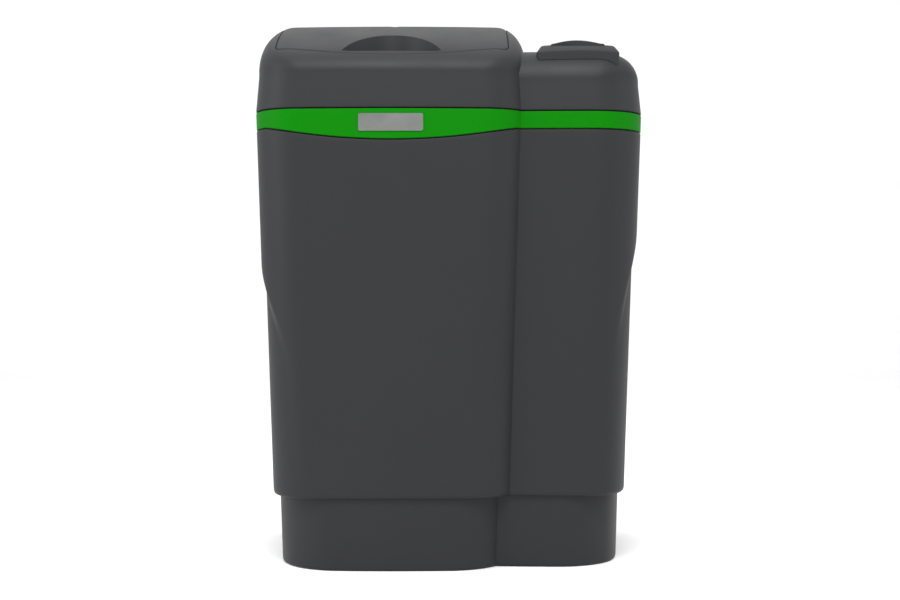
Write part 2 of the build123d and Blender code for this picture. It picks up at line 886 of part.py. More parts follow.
def make_rear_screws():
    screws = []
    for x in screw_places:
        for z in (body_screw_z, cover_screw_z):
            shank = along_y(x, z, cabinet_rear - screw_length, cabinet_rear, screw_radius)
            head = along_y(x, z, cabinet_rear, cabinet_rear + screw_head_height, screw_head_radius)
            slot = screw_slot(x, z, screw_slot_reach, screw_slot_width / 2)
            cross = screw_slot(x, z, screw_slot_width / 2, screw_slot_reach)
            screws.append(shank + head - slot - cross)
    return screws


# Media tank: one moulded vessel, seen as the outer shape less the inner one

def tank_profile(depth):
    radius = tank_radius - depth
    bottom = tank_bottom + depth
    dome_top = tank_bottom + tank_dome_height
    crown_start = neck_top - tank_neck_height - tank_crown_height
    neck = tank_neck_radius if depth == 0 else neck_bore_radius
    crown_end = neck_top - tank_neck_height - depth
    lower = EllipticalCenterArc((0, dome_top), radius, dome_top - bottom, start_angle=270, arc_size=90)
    upper = EllipticalCenterArc(
        (neck, crown_start), radius - neck, crown_end - crown_start, start_angle=0, arc_size=90)
    end = neck_top + depth
    walls = Line((radius, dome_top), (radius, crown_start)) + Line((neck, crown_end), (neck, end))
    closing = Line((neck, end), (0, end)) + Line((0, end), (0, bottom))
    face = make_face(lower + upper + walls + closing)
    return Pos(tank_x, tank_y, 0) * revolve(Plane.XZ * face, Axis.Z)


def make_media_tank():
    return tank_profile(0) - tank_profile(tank_wall)


def make_tank_boot():
    outer = tank_radius + boot_gap + boot_wall
    boot = upright(tank_x, tank_y, floor_top, floor_top + boot_height, outer)
    bottom = tank_profile(0) & upright(tank_x, tank_y, 0, tank_bottom + tank_dome_height, tank_radius + 1)
    boot -= bottom
    boot -= upright(
        tank_x, tank_y, tank_bottom + tank_dome_height, floor_top + boot_height + 1, tank_radius + boot_gap)
    return boot


def tank_filling(z0, z1):
    return tank_profile(tank_wall + media_gap) & upright(tank_x, tank_y, z0, z1, tank_radius)


def riser_foot():
    return tank_bottom + riser_lift


def make_gravel_bed():
    top = tank_bottom + tank_wall + gravel_depth
    bed = tank_filling(tank_bottom, top)
    bed -= upright(
        tank_x, tank_y, riser_foot() - lower_screen_height / 2 - media_gap,
        riser_foot() + lower_screen_height / 2 + media_gap, lower_screen_radius + media_gap)
    return bed - upright(tank_x, tank_y, riser_foot(), top + 1, riser_radius + media_gap)


def make_filter_media():
    bottom = tank_bottom + tank_wall + gravel_depth + media_gap
    bed = tank_filling(bottom, bottom + media_depth)
    return bed - upright(tank_x, tank_y, bottom - 1, bottom + media_depth + 1, riser_radius + media_gap)


def make_riser_tube():
    top = valve_bottom + riser_engagement
    return ring(tank_x, tank_y, riser_foot(), top, riser_radius, riser_radius - riser_wall)


def slitted(shell, z0, z1, radius):
    rows = slit_rows
    pitch = (z1 - z0) / rows
    for row in range(rows):
        z = z0 + pitch * (row + 0.5)
        for turn in (0, 60, 120):
            bar = Box(2 * radius + 10, radius * 0.7, slit_width)
            shell -= Pos(tank_x, tank_y, z) * Rot(0, 0, turn) * bar
    return shell


def make_lower_screen():
    low = riser_foot() - lower_screen_height / 2
    high = riser_foot() + lower_screen_height / 2
    screen = upright(tank_x, tank_y, low, high, lower_screen_radius)
    screen -= upright(tank_x, tank_y, riser_foot(), high + 1, riser_radius)
    screen -= upright(tank_x, tank_y, low + riser_wall, riser_foot() + 1, riser_radius - riser_wall)
    return slitted(screen, low + riser_wall, riser_foot() - 2, lower_screen_radius)


def make_upper_screen():
    high = neck_top - insert_depth
    low = high - upper_screen_height
    screen = ring(tank_x, tank_y, low, high, upper_screen_radius, riser_radius + slide_gap)
    screen -= ring(
        tank_x, tank_y, low + riser_wall, high - riser_wall,
        upper_screen_radius - riser_wall, riser_radius + slide_gap + riser_wall)
    return slitted(screen, low + 4, high - 4, upper_screen_radius) + ring(
        tank_x, tank_y, low, high, riser_radius + slide_gap + riser_wall, riser_radius + slide_gap)


def make_neck_insert():
    sleeve = ring(
        tank_x, tank_y, neck_top - insert_depth, neck_top, neck_bore_radius, thread_radius + fit_gap / 2)
    flange = ring(
        tank_x, tank_y, neck_top, neck_top + insert_flange, tank_neck_radius, thread_radius + fit_gap / 2)
    return sleeve + flange


def make_neck_seal():
    radius = neck_seal_thickness / 2
    return Pos(tank_x, tank_y, neck_top + insert_flange + radius) * Torus(
        thread_radius + fit_gap + radius + 1, radius)


# Control valve body with its barrel, ports and passages

def make_valve_body():
    body = upright(tank_x, tank_y, neck_top - insert_depth, valve_bottom, thread_radius)
    body += upright(tank_x, tank_y, valve_bottom, block_bottom, flange_radius)
    body += block(
        tank_x - block_half_width, tank_x + block_half_width, tank_y - block_front, tank_y + block_rear,
        block_bottom, barrel_z)
    body += along_y(tank_x, barrel_z, barrel_front_y, barrel_rear_y, barrel_radius)
    for x in port_places:
        body += along_y(x, port_z, tank_y, port_rear_y, port_radius)
    body += along_x(injector_y(), injector_z(), tank_x, tank_x + block_half_width + 4, injector_radius + 4)
    body -= along_y(tank_x, barrel_z, barrel_front_y - 1, barrel_rear_y - 20, barrel_bore)
    riser_seat = valve_bottom + riser_engagement
    body -= upright(tank_x, tank_y, neck_top - insert_depth - 1, riser_seat, riser_radius + slide_gap)
    body -= upright(tank_x, tank_y, riser_seat - 1, barrel_z, riser_passage_radius)
    inlet_x, outlet_x = port_places
    body -= along_y(inlet_x, port_z, tank_y + 15, port_rear_y + 1, port_bore)
    body -= along_y(outlet_x, port_z, tank_y - 15, port_rear_y + 1, port_bore)
    passage_z = barrel_z - barrel_bore + cross_passage_radius / 2
    body -= along_x(tank_y + 25, passage_z, inlet_x, tank_x, cross_passage_radius)
    body -= along_x(tank_y - 5, passage_z, tank_x, outlet_x, cross_passage_radius)
    body -= along_x(
        injector_y(), injector_z(), tank_x + block_half_width + 4 - injector_length,
        tank_x + block_half_width + 5,
        injector_radius)
    body -= along_x(
        injector_y(), injector_z(), tank_x - block_half_width - 1, tank_x, tube_radius - tube_wall)
    body -= along_x(
        drain_y(), drain_z(), tank_x - block_half_width - 1, tank_x - barrel_bore / 2, drain_bore)
    return body


def injector_y():
    return tank_y - injector_setback


def injector_z():
    return barrel_z - injector_drop


def make_injector():
    end = tank_x + block_half_width + 4
    nozzle = along_x(injector_y(), injector_z(), end - injector_length, end, injector_radius)
    return nozzle - along_x(
        injector_y(), injector_z(), end - injector_length - 1, end - 3, injector_radius * 0.3)


def make_injector_cap():
    start = tank_x + block_half_width + 4
    cap = along_x(injector_y(), injector_z(), start, start + injector_cap_length * 0.4, injector_cap_radius)
    hexagon = Plane(
        origin=(start + injector_cap_length * 0.4, injector_y(), injector_z()), x_dir=(0, 1, 0),
        z_dir=(1, 0, 0)
    ) * RegularPolygon(injector_cap_radius * 0.8, 6)
    return cap + extrude(hexagon, injector_cap_length * 0.6, dir=(1, 0, 0))


def stack_front_y():
    return barrel_front_y + plug_nose


def spacer_front_y(index):
    return stack_front_y() + seal_length + index * (seal_length + spacer_length)


def make_spacer_stack():
    spacers = []
    for index in range(stack_spacers):
        front = spacer_front_y(index)
        rear = front + spacer_length
        spacer = along_y(tank_x, barrel_z, front, rear, barrel_bore - stack_gap)
        spacer -= along_y(tank_x, barrel_z, front - 1, rear + 1, piston_radius + 2.5)
        middle = (front + rear) / 2
        for turn in (0, 60, 120):
            spacer -= Pos(tank_x, middle, barrel_z) * Rot(0, turn, 0) * Cylinder(spacer_length * 0.28, 60)
        spacers.append(spacer)
    return spacers


def make_piston_seals():
    seals = []
    for index in range(stack_spacers + 1):
        rear = spacer_front_y(index)
        front = rear - seal_length
        seal = along_y(tank_x, barrel_z, front, rear, barrel_bore - stack_gap)
        seals.append(seal - along_y(tank_x, barrel_z, front - 1, rear + 1, piston_radius + running_gap))
    return seals


def piston_front_y():
    return stack_front_y() + piston_travel + 2


def make_piston_rod():
    front = piston_front_y()
    piston = along_y(tank_x, barrel_z, front, front + piston_length, piston_radius)
    groove = piston_length / 5
    for share in (0.2, 0.6):
        start = front + piston_length * share
        collar = along_y(tank_x, barrel_z, start, start + groove, piston_radius + 1)
        piston -= collar - along_y(tank_x, barrel_z, start - 1, start + groove + 1, piston_radius * 0.7)
    rod_front = drive_front_y - wheel_face - 8
    return piston + along_y(tank_x, barrel_z, rod_front, front + 1, piston_rod_radius)


def make_end_plug():
    plug = along_y(tank_x, barrel_z, barrel_front_y, stack_front_y(), barrel_bore - stack_gap)
    plug += along_y(tank_x, barrel_z, plug_front_y, barrel_front_y, barrel_radius)
    return plug - along_y(
        tank_x, barrel_z, plug_front_y - 1, stack_front_y() + 1, piston_rod_radius + running_gap)


# Gear with involute flanks, its first tooth centred on the given angle

def gear(teeth, x, z, front, rear, first_angle, bore):
    pitch = module * teeth / 2
    base = pitch * cos(radians(20))
    root = pitch - 1.1 * module
    tip = pitch + 0.8 * module

    def involute(radius):
        angle = acos(min(1.0, base / radius))
        return tan(angle) - angle

    at_pitch = pi / (2 * teeth) - gear_backlash / (2 * pitch) + involute(pitch)
    start = max(base, root)
    flank = [start + (tip - start) * share for share in (0.0, 0.35, 0.7, 1.0)]
    points = []
    for tooth in range(teeth):
        centre = radians(first_angle) + 2 * pi * tooth / teeth
        rising = [(root, at_pitch)] + [(radius, at_pitch - involute(radius)) for radius in flank]
        sides = [(radius, -half) for radius, half in rising] + [
            (radius, half) for radius, half in reversed(rising)]
        points += [(radius * cos(centre + turn), radius * sin(centre + turn)) for radius, turn in sides]
    outline = make_face(Polyline(*points, close=True))
    plane = Plane(origin=(x, front, z), x_dir=(1, 0, 0), z_dir=(0, -1, 0))
    solid = extrude(plane * outline, rear - front, dir=(0, 1, 0))
    return solid - along_y(x, z, front - 1, rear + 1, bore)


def make_drive_gear():
    return gear(
        drive_teeth, tank_x, barrel_z, drive_front_y, drive_rear_y, 90, piston_rod_radius + running_gap)


def make_reduction_gear():
    gap_down = 270 + 180 / pinion_teeth
    pinion = gear(
        pinion_teeth, tank_x, reduction_z, drive_front_y - gear_gap, drive_rear_y, gap_down,
        gear_axle_radius + running_gap)
    wheel = gear(
        wheel_teeth, tank_x, reduction_z, wheel_front_y, wheel_rear_y, 90, gear_axle_radius + running_gap)
    return pinion + wheel


def make_motor_pinion():
    gap_down = 270 + 180 / pinion_teeth
    pinion = gear(
        pinion_teeth, tank_x, motor_z, wheel_front_y, wheel_rear_y, gap_down, motor_shaft_radius * 0.5)
    shaft = along_y(tank_x, motor_z, wheel_front_y, plug_front_y + motor_length / 3, motor_shaft_radius)
    return pinion + shaft


def make_drive_motor():
    motor = along_y(tank_x, motor_z, plug_front_y, plug_front_y + motor_length, motor_radius)
    lugs = block(
        tank_x - motor_screw_spacing / 2 - 4, tank_x + motor_screw_spacing / 2 + 4, plug_front_y,
        plug_front_y + 3,
        motor_z - 4, motor_z + 4)
    motor += lugs
    for side in (-1, 1):
        motor -= along_y(
            tank_x + side * motor_screw_spacing / 2, motor_z, plug_front_y - 1, plug_front_y + 8,
            motor_screw_radius)
    return motor - along_y(
        tank_x, motor_z, plug_front_y - 1, plug_front_y + motor_length * 0.6,
        motor_shaft_radius + running_gap)


def make_motor_screws():
    screws = []
    for side in (-1, 1):
        x = tank_x + side * motor_screw_spacing / 2
        screw = along_y(x, motor_z, bracket_front_y, plug_front_y + 7, motor_screw_radius)
        screw += along_y(x, motor_z, bracket_front_y - 1.6, bracket_front_y, motor_screw_radius * 1.8)
        screws.append(screw)
    return screws


def make_gear_bracket():
    plate = block(
        tank_x - bracket_half_width, tank_x + bracket_half_width, bracket_front_y, plug_front_y,
        barrel_z - barrel_radius, housing_bottom - shelf_thickness)
    shelf = rounded_block(
        housing_left, housing_right, housing_front, housing_rear, housing_bottom - shelf_thickness,
        housing_bottom,
        housing_corner_radius)
    bracket = plate + shelf
    bracket -= along_y(tank_x, barrel_z, bracket_front_y - 1, plug_front_y + 1, piston_rod_radius * 2)
    bracket -= along_y(tank_x, motor_z, bracket_front_y - 1, plug_front_y + 1, motor_shaft_radius * 2)
    bracket -= along_y(tank_x, reduction_z, bracket_front_y - 1, plug_front_y + 1, gear_axle_radius)
    for side in (-1, 1):
        bracket -= along_y(
            tank_x + side * motor_screw_spacing / 2, motor_z, bracket_front_y - 1, plug_front_y + 1,
            motor_screw_radius)
    return bracket


def make_gear_axle():
    front = wheel_front_y - gear_gap
    axle = along_y(tank_x, reduction_z, front, plug_front_y, gear_axle_radius)
    return axle + along_y(tank_x, reduction_z, front - gear_axle_cap, front, gear_axle_radius * 1.6)


# Control housing, with its board, window and buttons

def button_places():
    x = (housing_left + housing_right) / 2 + 8
    y = housing_front + 46
    return [(x + (index - 1.5) * button_spacing, y) for index in range(4)]


def window_centre():
    return ((housing_left + housing_right) / 2 + 8, housing_front + 92)


def make_control_housing():
    outer = rounded_block(
        housing_left, housing_right, housing_front, housing_rear, housing_bottom, housing_top,
        housing_corner_radius)
    inner = rounded_block(
        housing_left + housing_wall, housing_right - housing_wall, housing_front + housing_wall,
        housing_rear - housing_wall, housing_bottom - 1, housing_top - housing_wall,
        housing_corner_radius - housing_wall)
    housing = outer - inner
    x, y = window_centre()
    low = housing_top - housing_wall
    housing -= block(
        x - window_width / 2, x + window_width / 2, y - window_depth / 2, y + window_depth / 2,
        housing_top - window_thickness + window_proud, housing_top + 1)
    housing -= block(
        x - window_width / 2 + window_lip, x + window_width / 2 - window_lip,
        y - window_depth / 2 + window_lip, y + window_depth / 2 - window_lip, low - 1, housing_top)
    for bx, by in button_places():
        housing -= upright(bx, by, low - 1, housing_top + 1, button_radius + button_gap)
    return housing


def make_display_window():
    x, y = window_centre()
    return block(
        x - window_width / 2, x + window_width / 2, y - window_depth / 2, y + window_depth / 2,
        housing_top - window_thickness + window_proud, housing_top + window_proud)


def make_circuit_board():
    edge = housing_wall + board_margin
    board = block(
        housing_left + edge, housing_right - edge, housing_front + edge, housing_rear - edge,
        board_top - board_thickness, board_top)
    for x, y in button_places():
        board += block(
            x - switch_size / 2, x + switch_size / 2, y - switch_size / 2, y + switch_size / 2,
            board_top, board_top + switch_height)
    x, y = window_centre()
    screen = block(
        x - window_width / 2 + window_lip + 2, x + window_width / 2 - window_lip - 2,
        y - window_depth / 2 + window_lip + 2, y + window_depth / 2 - window_lip - 2,
        board_top, housing_top - housing_wall - 1)
    board += screen
    for sx in (housing_left + edge + 8, housing_right - edge - 8):
        for sy in (housing_front + edge + 8, housing_rear - edge - 8):
            board += upright(sx, sy, housing_bottom, board_top, board_post_radius)
    return board


def make_button(index):
    x, y = button_places()[index]
    low = board_top + switch_height + button_travel + button_clearance
    flange_top = housing_top - housing_wall
    cap = upright(x, y, low, housing_top + button_proud, button_radius)
    return cap + upright(
        x, y, flange_top - button_flange_thickness, flange_top, button_radius + button_flange)


# Brine elbow, brine tube and drain elbow on the valve's left side

def brine_riser_x():
    return tank_x - block_half_width - elbow_radius - 8


def make_brine_elbow():
    x = brine_riser_x()
    wall_x = tank_x - block_half_width
    elbow = along_x(injector_y(), injector_z(), x, wall_x, elbow_radius)
    elbow += upright(x, injector_y(), injector_z() - elbow_radius, injector_z() + 40, elbow_radius)
    elbow -= along_x(injector_y(), injector_z(), x, wall_x + 1, tube_radius - tube_wall)
    elbow -= upright(x, injector_y(), injector_z(), injector_z() + 41, tube_radius - tube_wall)
    return elbow - upright(x, injector_y(), injector_z() + 26, injector_z() + 41, tube_radius)


def brine_route():
    x = brine_riser_x()
    start_z = injector_z() + 26
    end_z = shutoff_bottom + shutoff_height + shutoff_port_height - 14
    points = [
        (x, injector_y(), start_z),
        (x, injector_y(), partition_height + 40),
        (x - 50, injector_y() + 40, partition_height + 56),
        (partition_x - 90, well_y - 66, partition_height + 52),
        (well_x + 110, well_y - 20, partition_height + 50),
        (well_x, well_y, partition_height + 46),
        (well_x, well_y, end_z),
    ]
    return [Vector(*point) for point in points]


def bend_radii(points):
    radii = []
    for before, corner, after in zip(points, points[1:], points[2:]):
        inward = corner - before
        outward = after - corner
        turn = radians(inward.get_angle(outward))
        radii.append(0.45 * min(inward.length, outward.length) / tan(turn / 2))
    return radii


def make_brine_tube():
    points = brine_route()
    radii = bend_radii(points)
    path = FilletPolyline(*points, radius=radii)
    start = path @ 0
    direction = path % 0
    section = Plane(origin=start, z_dir=direction) * Circle(tube_radius)
    bore = Plane(origin=start, z_dir=direction) * Circle(tube_radius - tube_wall)
    print("brine tube radii", [round(radius, 1) for radius in radii])
    return sweep(section, path=path) - sweep(bore, path=path)


def drain_y():
    return tank_y + drain_setback


def drain_z():
    return barrel_z - drain_drop


def barbed(tip, step_towards):
    return [tip + step_towards * barb_pitch * index for index in range(barb_count)]


def make_drain_elbow():
    wall_x = tank_x - block_half_width
    x = wall_x - drain_reach
    elbow = along_x(drain_y(), drain_z(), x, wall_x, barb_radius)
    elbow += along_y(x, drain_z(), drain_y() - barb_radius, drain_end, barb_radius)
    for y in barbed(drain_end, -1):
        elbow += Pos(x, y - barb_pitch / 2, drain_z()) * Rot(-90, 0, 0) * Cone(
            barb_radius + barb_step, barb_radius, barb_pitch)
    elbow -= along_x(drain_y(), drain_z(), x, wall_x + 1, drain_bore)
    return elbow - along_y(x, drain_z(), drain_y(), drain_end + 1, drain_bore)


# Flow meter in the outlet port

def cage_rear_y():
    return port_rear_y - 3


def make_meter_cage():
    x = port_places[1]
    rear = cage_rear_y()
    front = rear - cage_length
    cage = along_y(x, port_z, front, rear, port_bore) - along_y(
        x, port_z, front - 1, rear + 1, port_bore - 1.5)
    cage += along_y(x, port_z, front, rear, turbine_hub)
    for index in range(cage_spokes):
        turn = 90 + 360 * index / cage_spokes
        reach = port_bore - 0.75
        spoke = Pos(reach / 2, 0, 0) * Box(reach, cage_length, 1.6)
        cage += Pos(x, (front + rear) / 2, port_z) * Rot(0, turn, 0) * spoke
    axle_end = front - gear_gap - turbine_length - 1
    return cage + along_y(x, port_z, axle_end, front, turbine_axle)


def make_flow_turbine():
    x = port_places[1]
    rear = cage_rear_y() - cage_length - gear_gap
    front = rear - turbine_length
    turbine = along_y(x, port_z, front, rear, turbine_hub)
    for index in range(turbine_vanes):
        turn = 360 * index / turbine_vanes
        reach = turbine_radius - turbine_hub + 1
        vane = Pos(turbine_hub - 1 + reach / 2, 0, 0) * Rot(25, 0, 0) * Box(reach, turbine_length * 0.9, 1)
        turbine += Pos(x, (front + rear) / 2, port_z) * Rot(0, turn, 0) * vane
    turbine &= along_y(x, port_z, front, rear, turbine_radius)
    return turbine - along_y(x, port_z, front - 1, rear + 1, turbine_axle + running_gap)


# Bypass valve behind the rear window

def make_port_seals():
    seals = []
    for x in port_places:
        seal = along_y(x, port_z, port_rear_y, bypass_front_y, port_radius - 1)
        seals.append(seal - along_y(x, port_z, port_rear_y - 1, bypass_front_y + 1, port_bore))
    return seals


def make_port_clips():
    clips = []
    middle = (port_rear_y + bypass_front_y) / 2
    for x in port_places:
        front = middle - clip_length / 2
        rear = middle + clip_length / 2
        clip = along_y(x, port_z, front, rear, port_radius + clip_thickness)
        clip -= along_y(x, port_z, front - 1, rear + 1, port_radius)
        clips.append(clip - block(
            x - clip_mouth / 2, x + clip_mouth / 2, front - 1, rear + 1, port_z, port_z + port_radius * 2))
    return clips


def make_bypass_body():
    low = port_z - rotor_housing_drop
    high = port_z + rotor_housing_rise
    body = along_x(rotor_y, port_z, port_places[0], port_places[1], cross_tube_radius)
    for x in port_places:
        body += along_y(x, port_z, bypass_front_y, bypass_rear_y, port_radius)
        body += upright(x, rotor_y, low, high, rotor_housing_radius)
    for x in port_places:
        body -= along_y(x, port_z, bypass_front_y - 1, bypass_rear_y + 1, port_bore)
        body -= upright(x, rotor_y, low + rotor_floor, high + 1, rotor_radius + running_gap)
    return body - along_x(rotor_y, port_z, port_places[0], port_places[1], cross_tube_bore)


def make_bypass_bonnets():
    high = port_z + rotor_housing_rise
    bonnets = []
    for x in port_places:
        bonnets.append(ring(
            x, rotor_y, high, high + bonnet_thickness, rotor_housing_radius, stem_radius + running_gap))
    return bonnets


def handle_bottom():
    return port_z + rotor_housing_rise + bonnet_thickness + handle_lift


def make_rotor(x):
    low = port_z - rotor_housing_drop + rotor_floor + rotor_end_gap
    high = port_z + rotor_housing_rise - rotor_end_gap
    rotor = upright(x, rotor_y, low, high, rotor_radius)
    rotor += upright(x, rotor_y, high, handle_bottom() + handle_height * 0.7, stem_radius)
    return rotor - along_y(x, port_z, rotor_y - rotor_radius - 1, rotor_y + rotor_radius + 1, rotor_bore)


def make_handle(x):
    low = handle_bottom()
    high = low + handle_height
    handle = rounded_block(
        x - handle_width / 2, x + handle_width / 2, rotor_y - handle_length / 2,
        rotor_y + handle_length / 2,
        low, high, handle_width * 0.4)
    handle += upright(x, rotor_y, low, high, handle_width * 0.8)
    return handle - upright(x, rotor_y, low - 1, low + handle_height * 0.7, stem_radius)


def make_union_nuts():
    nuts = []
    front = bypass_rear_y - nut_overlap
    rear = nut_rear_y
    for x in port_places:
        nut = along_y(x, port_z, front, rear, nut_radius)
        for index in range(nut_ribs):
            turn = 360 * index / nut_ribs
            rib = Pos(nut_radius, 0, 0) * Box(3, nut_length, 4)
            nut += Pos(x, (front + rear) / 2, port_z) * Rot(0, turn, 0) * rib
        nut -= along_y(x, port_z, front - 1, bypass_rear_y + tail_flange, port_radius)
        nuts.append(nut - along_y(x, port_z, front - 1, rear + 1, tail_neck_radius + slide_gap))
    return nuts


def make_port_tailpieces():
    tails = []
    for x in port_places:
        tail = along_y(x, port_z, bypass_rear_y, bypass_rear_y + tail_length, tail_neck_radius)
        tail += along_y(x, port_z, nut_rear_y, bypass_rear_y + tail_length, tail_radius)
        tail += along_y(x, port_z, bypass_rear_y, bypass_rear_y + tail_flange, port_radius)
        tails.append(tail - along_y(
            x, port_z, bypass_rear_y - 1, bypass_rear_y + tail_length + 1, tail_bore))
    return tails


# Overflow and power inlet through the rear wall

def overflow_run(front, low, radius):
    bend_y = cabinet_rear + overflow_reach - overflow_bend_radius
    bend_z = overflow_z - overflow_bend_radius
    run = along_y(overflow_x, overflow_z, front, bend_y, radius)
    plane = Plane(origin=(overflow_x, bend_y, overflow_z), x_dir=(1, 0, 0), z_dir=(0, 1, 0))
    run += revolve(plane * Circle(radius), Axis((overflow_x, bend_y, bend_z), (-1, 0, 0)), 90)
    return run + upright(overflow_x, cabinet_rear + overflow_reach, low, bend_z, radius)


def make_overflow_elbow():
    inside = cabinet_rear - cabinet_wall - overflow_nut_thickness - 2
    low = overflow_z - overflow_drop
    elbow = overflow_run(inside, low, barb_radius)
    elbow += along_y(
        overflow_x, overflow_z, cabinet_rear, cabinet_rear + overflow_flange_thickness,
        overflow_flange_radius)
    for z in barbed(low, 1):
        elbow += Pos(overflow_x, cabinet_rear + overflow_reach, z + barb_pitch / 2) * Cone(
            barb_radius, barb_radius + barb_step, barb_pitch)
    return elbow - overflow_run(inside - 1, low - 1, drain_bore)


def make_overflow_nut():
    rear = cabinet_rear - cabinet_wall
    plane = Plane(origin=(overflow_x, rear, overflow_z), x_dir=(1, 0, 0), z_dir=(0, -1, 0))
    nut = extrude(plane * RegularPolygon(overflow_nut_radius, 6), overflow_nut_thickness, dir=(0, -1, 0))
    return nut - along_y(overflow_x, overflow_z, rear - overflow_nut_thickness - 1, rear + 1, barb_radius)


def make_power_inlet():
    front = cabinet_rear + power_flange_thickness - power_length
    rear = cabinet_rear + power_flange_thickness
    inlet = along_y(power_x, power_z, front, rear, power_radius)
    inlet += along_y(power_x, power_z, cabinet_rear, rear, power_flange_radius)
    inlet -= along_y(power_x, power_z, rear - power_socket_depth, rear + 1, power_socket_radius)
    return inlet + along_y(power_x, power_z, rear - power_socket_depth, rear - 2, power_pin_radius)


# Salt compartment: platform, brine well and what hangs in the well

def make_salt_platform():
    clear = cabinet_wall + platform_gap + recess_depth
    zone = tub_wall_solid(platform_height - platform_thickness, platform_height, clear)
    plate = zone & block(
        lobe_left, partition_x - platform_gap, cabinet_front, cabinet_rear, 0, platform_height + 1)
    plate -= upright(well_x, well_y, 0, platform_height + 1, well_radius + platform_gap)
    left = lobe_left + clear + 40
    columns = int((partition_x - 30 - left) // platform_pitch) + 1
    rows = int((cabinet_rear - cabinet_front - 110) // platform_pitch) + 1
    for column in range(columns):
        for row in range(rows):
            x = left + 14 + column * platform_pitch
            y = cabinet_front + 62 + row * platform_pitch
            if hypot(x - well_x, y - well_y) > well_radius + platform_hole * 1.4:
                plate -= block(
                    x - platform_hole / 2, x + platform_hole / 2, y - platform_hole / 2,
                    y + platform_hole / 2,
                    0, platform_height + 1)
    for x, y in leg_places():
        leg = ring(x, y, floor_top, platform_height - platform_thickness, leg_radius, leg_radius - leg_wall)
        plate += leg
    return plate


def leg_places():
    wall_inset = plinth_inset + foot_edge_chamfer + cabinet_wall
    foot_inset = band_top * slope + wall_inset
    corner = salt_corner_radius + plinth_corner_growth - wall_inset
    reach = corner - (corner - leg_radius - platform_gap) / sqrt(2)
    left = lobe_left + foot_inset + reach
    right = partition_x - platform_gap - 2 * leg_radius
    bow = (salt_middle - left) ** 2 / (2 * front_bow_radius)
    front = cabinet_front + foot_inset + bow + reach
    middle = (left + right) / 2
    return [
        (left, front), (middle, front), (right, front), (left, 20), (right, 20), (middle, cabinet_rear - 36)]


def make_brine_well():
    well = ring(well_x, well_y, floor_top, floor_top + well_height, well_radius, well_radius - well_wall)
    for row in range(well_slot_rows):
        z = floor_top + well_slot_height + row * well_slot_pitch
        for turn in (0, 45, 90, 135):
            bar = Box(2 * well_radius + 10, well_slot_width, well_slot_height)
            well -= Pos(well_x, well_y, z) * Rot(0, 0, turn) * bar
    return well


def make_well_cap():
    top = floor_top + well_height
    outer = well_radius + fit_gap + 2
    cap = upright(well_x, well_y, top - well_cap_skirt, top + well_cap_thickness, outer)
    cap -= upright(well_x, well_y, top - well_cap_skirt - 1, top, well_radius + fit_gap)
    return cap - upright(well_x, well_y, top - 1, top + well_cap_thickness + 1, tube_radius + 1)


def make_shutoff_valve():
    top = shutoff_bottom + shutoff_height
    valve = upright(well_x, well_y, shutoff_bottom, top, shutoff_radius)
    valve += upright(well_x, well_y, top, top + shutoff_port_height, elbow_radius)
    inside = well_radius - well_wall
    valve += block(
        well_x - inside + 1.5, well_x + inside - 1.5, well_y - shutoff_arm / 2, well_y + shutoff_arm / 2,
        top - shutoff_arm - 4, top - 4)
    valve -= upright(
        well_x, well_y, top + shutoff_port_height - 14, top + shutoff_port_height + 1, tube_radius)
    valve -= upright(
        well_x, well_y, shutoff_bottom - 1, top + shutoff_port_height - 13, tube_radius - tube_wall)
    valve -= upright(well_x, well_y, shutoff_bottom - 1, shutoff_bottom + 12, pickup_radius)
    rod_x = well_x + float_rod_offset
    rod_top = shutoff_bottom + float_rod_entry + float_travel + 4
    return valve - upright(rod_x, well_y, shutoff_bottom - 1, rod_top, float_rod_radius + running_gap)


def air_check_bottom():
    return floor_top + air_check_lift


def make_pickup_tube():
    low = air_check_bottom() + 10
    tube = ring(well_x, well_y, low, shutoff_bottom + 12, pickup_radius, pickup_bore)
    stop = ring(
        well_x, well_y, float_bottom - float_stop_height, float_bottom,
        pickup_radius + float_gap * 3, pickup_radius)
    return tube + stop


def make_air_check():
    low = air_check_bottom()
    high = low + air_check_height
    check = upright(well_x, well_y, low, high, air_check_radius)
    check -= upright(well_x, well_y, low + 10, high + 1, pickup_radius)
    for turn in (0, 90):
        check -= Pos(well_x, well_y, low + 5) * Rot(0, 0, turn) * Box(2 * air_check_radius + 2, 4, 5)
    return check


def make_brine_float():
    ball = ring(
        well_x, well_y, float_bottom, float_bottom + float_height, float_radius, pickup_radius + float_gap)
    rod_x = well_x + float_rod_offset
    rod = upright(
        rod_x, well_y, float_bottom + float_height / 2, shutoff_bottom + float_rod_entry, float_rod_radius)
    return ball + rod


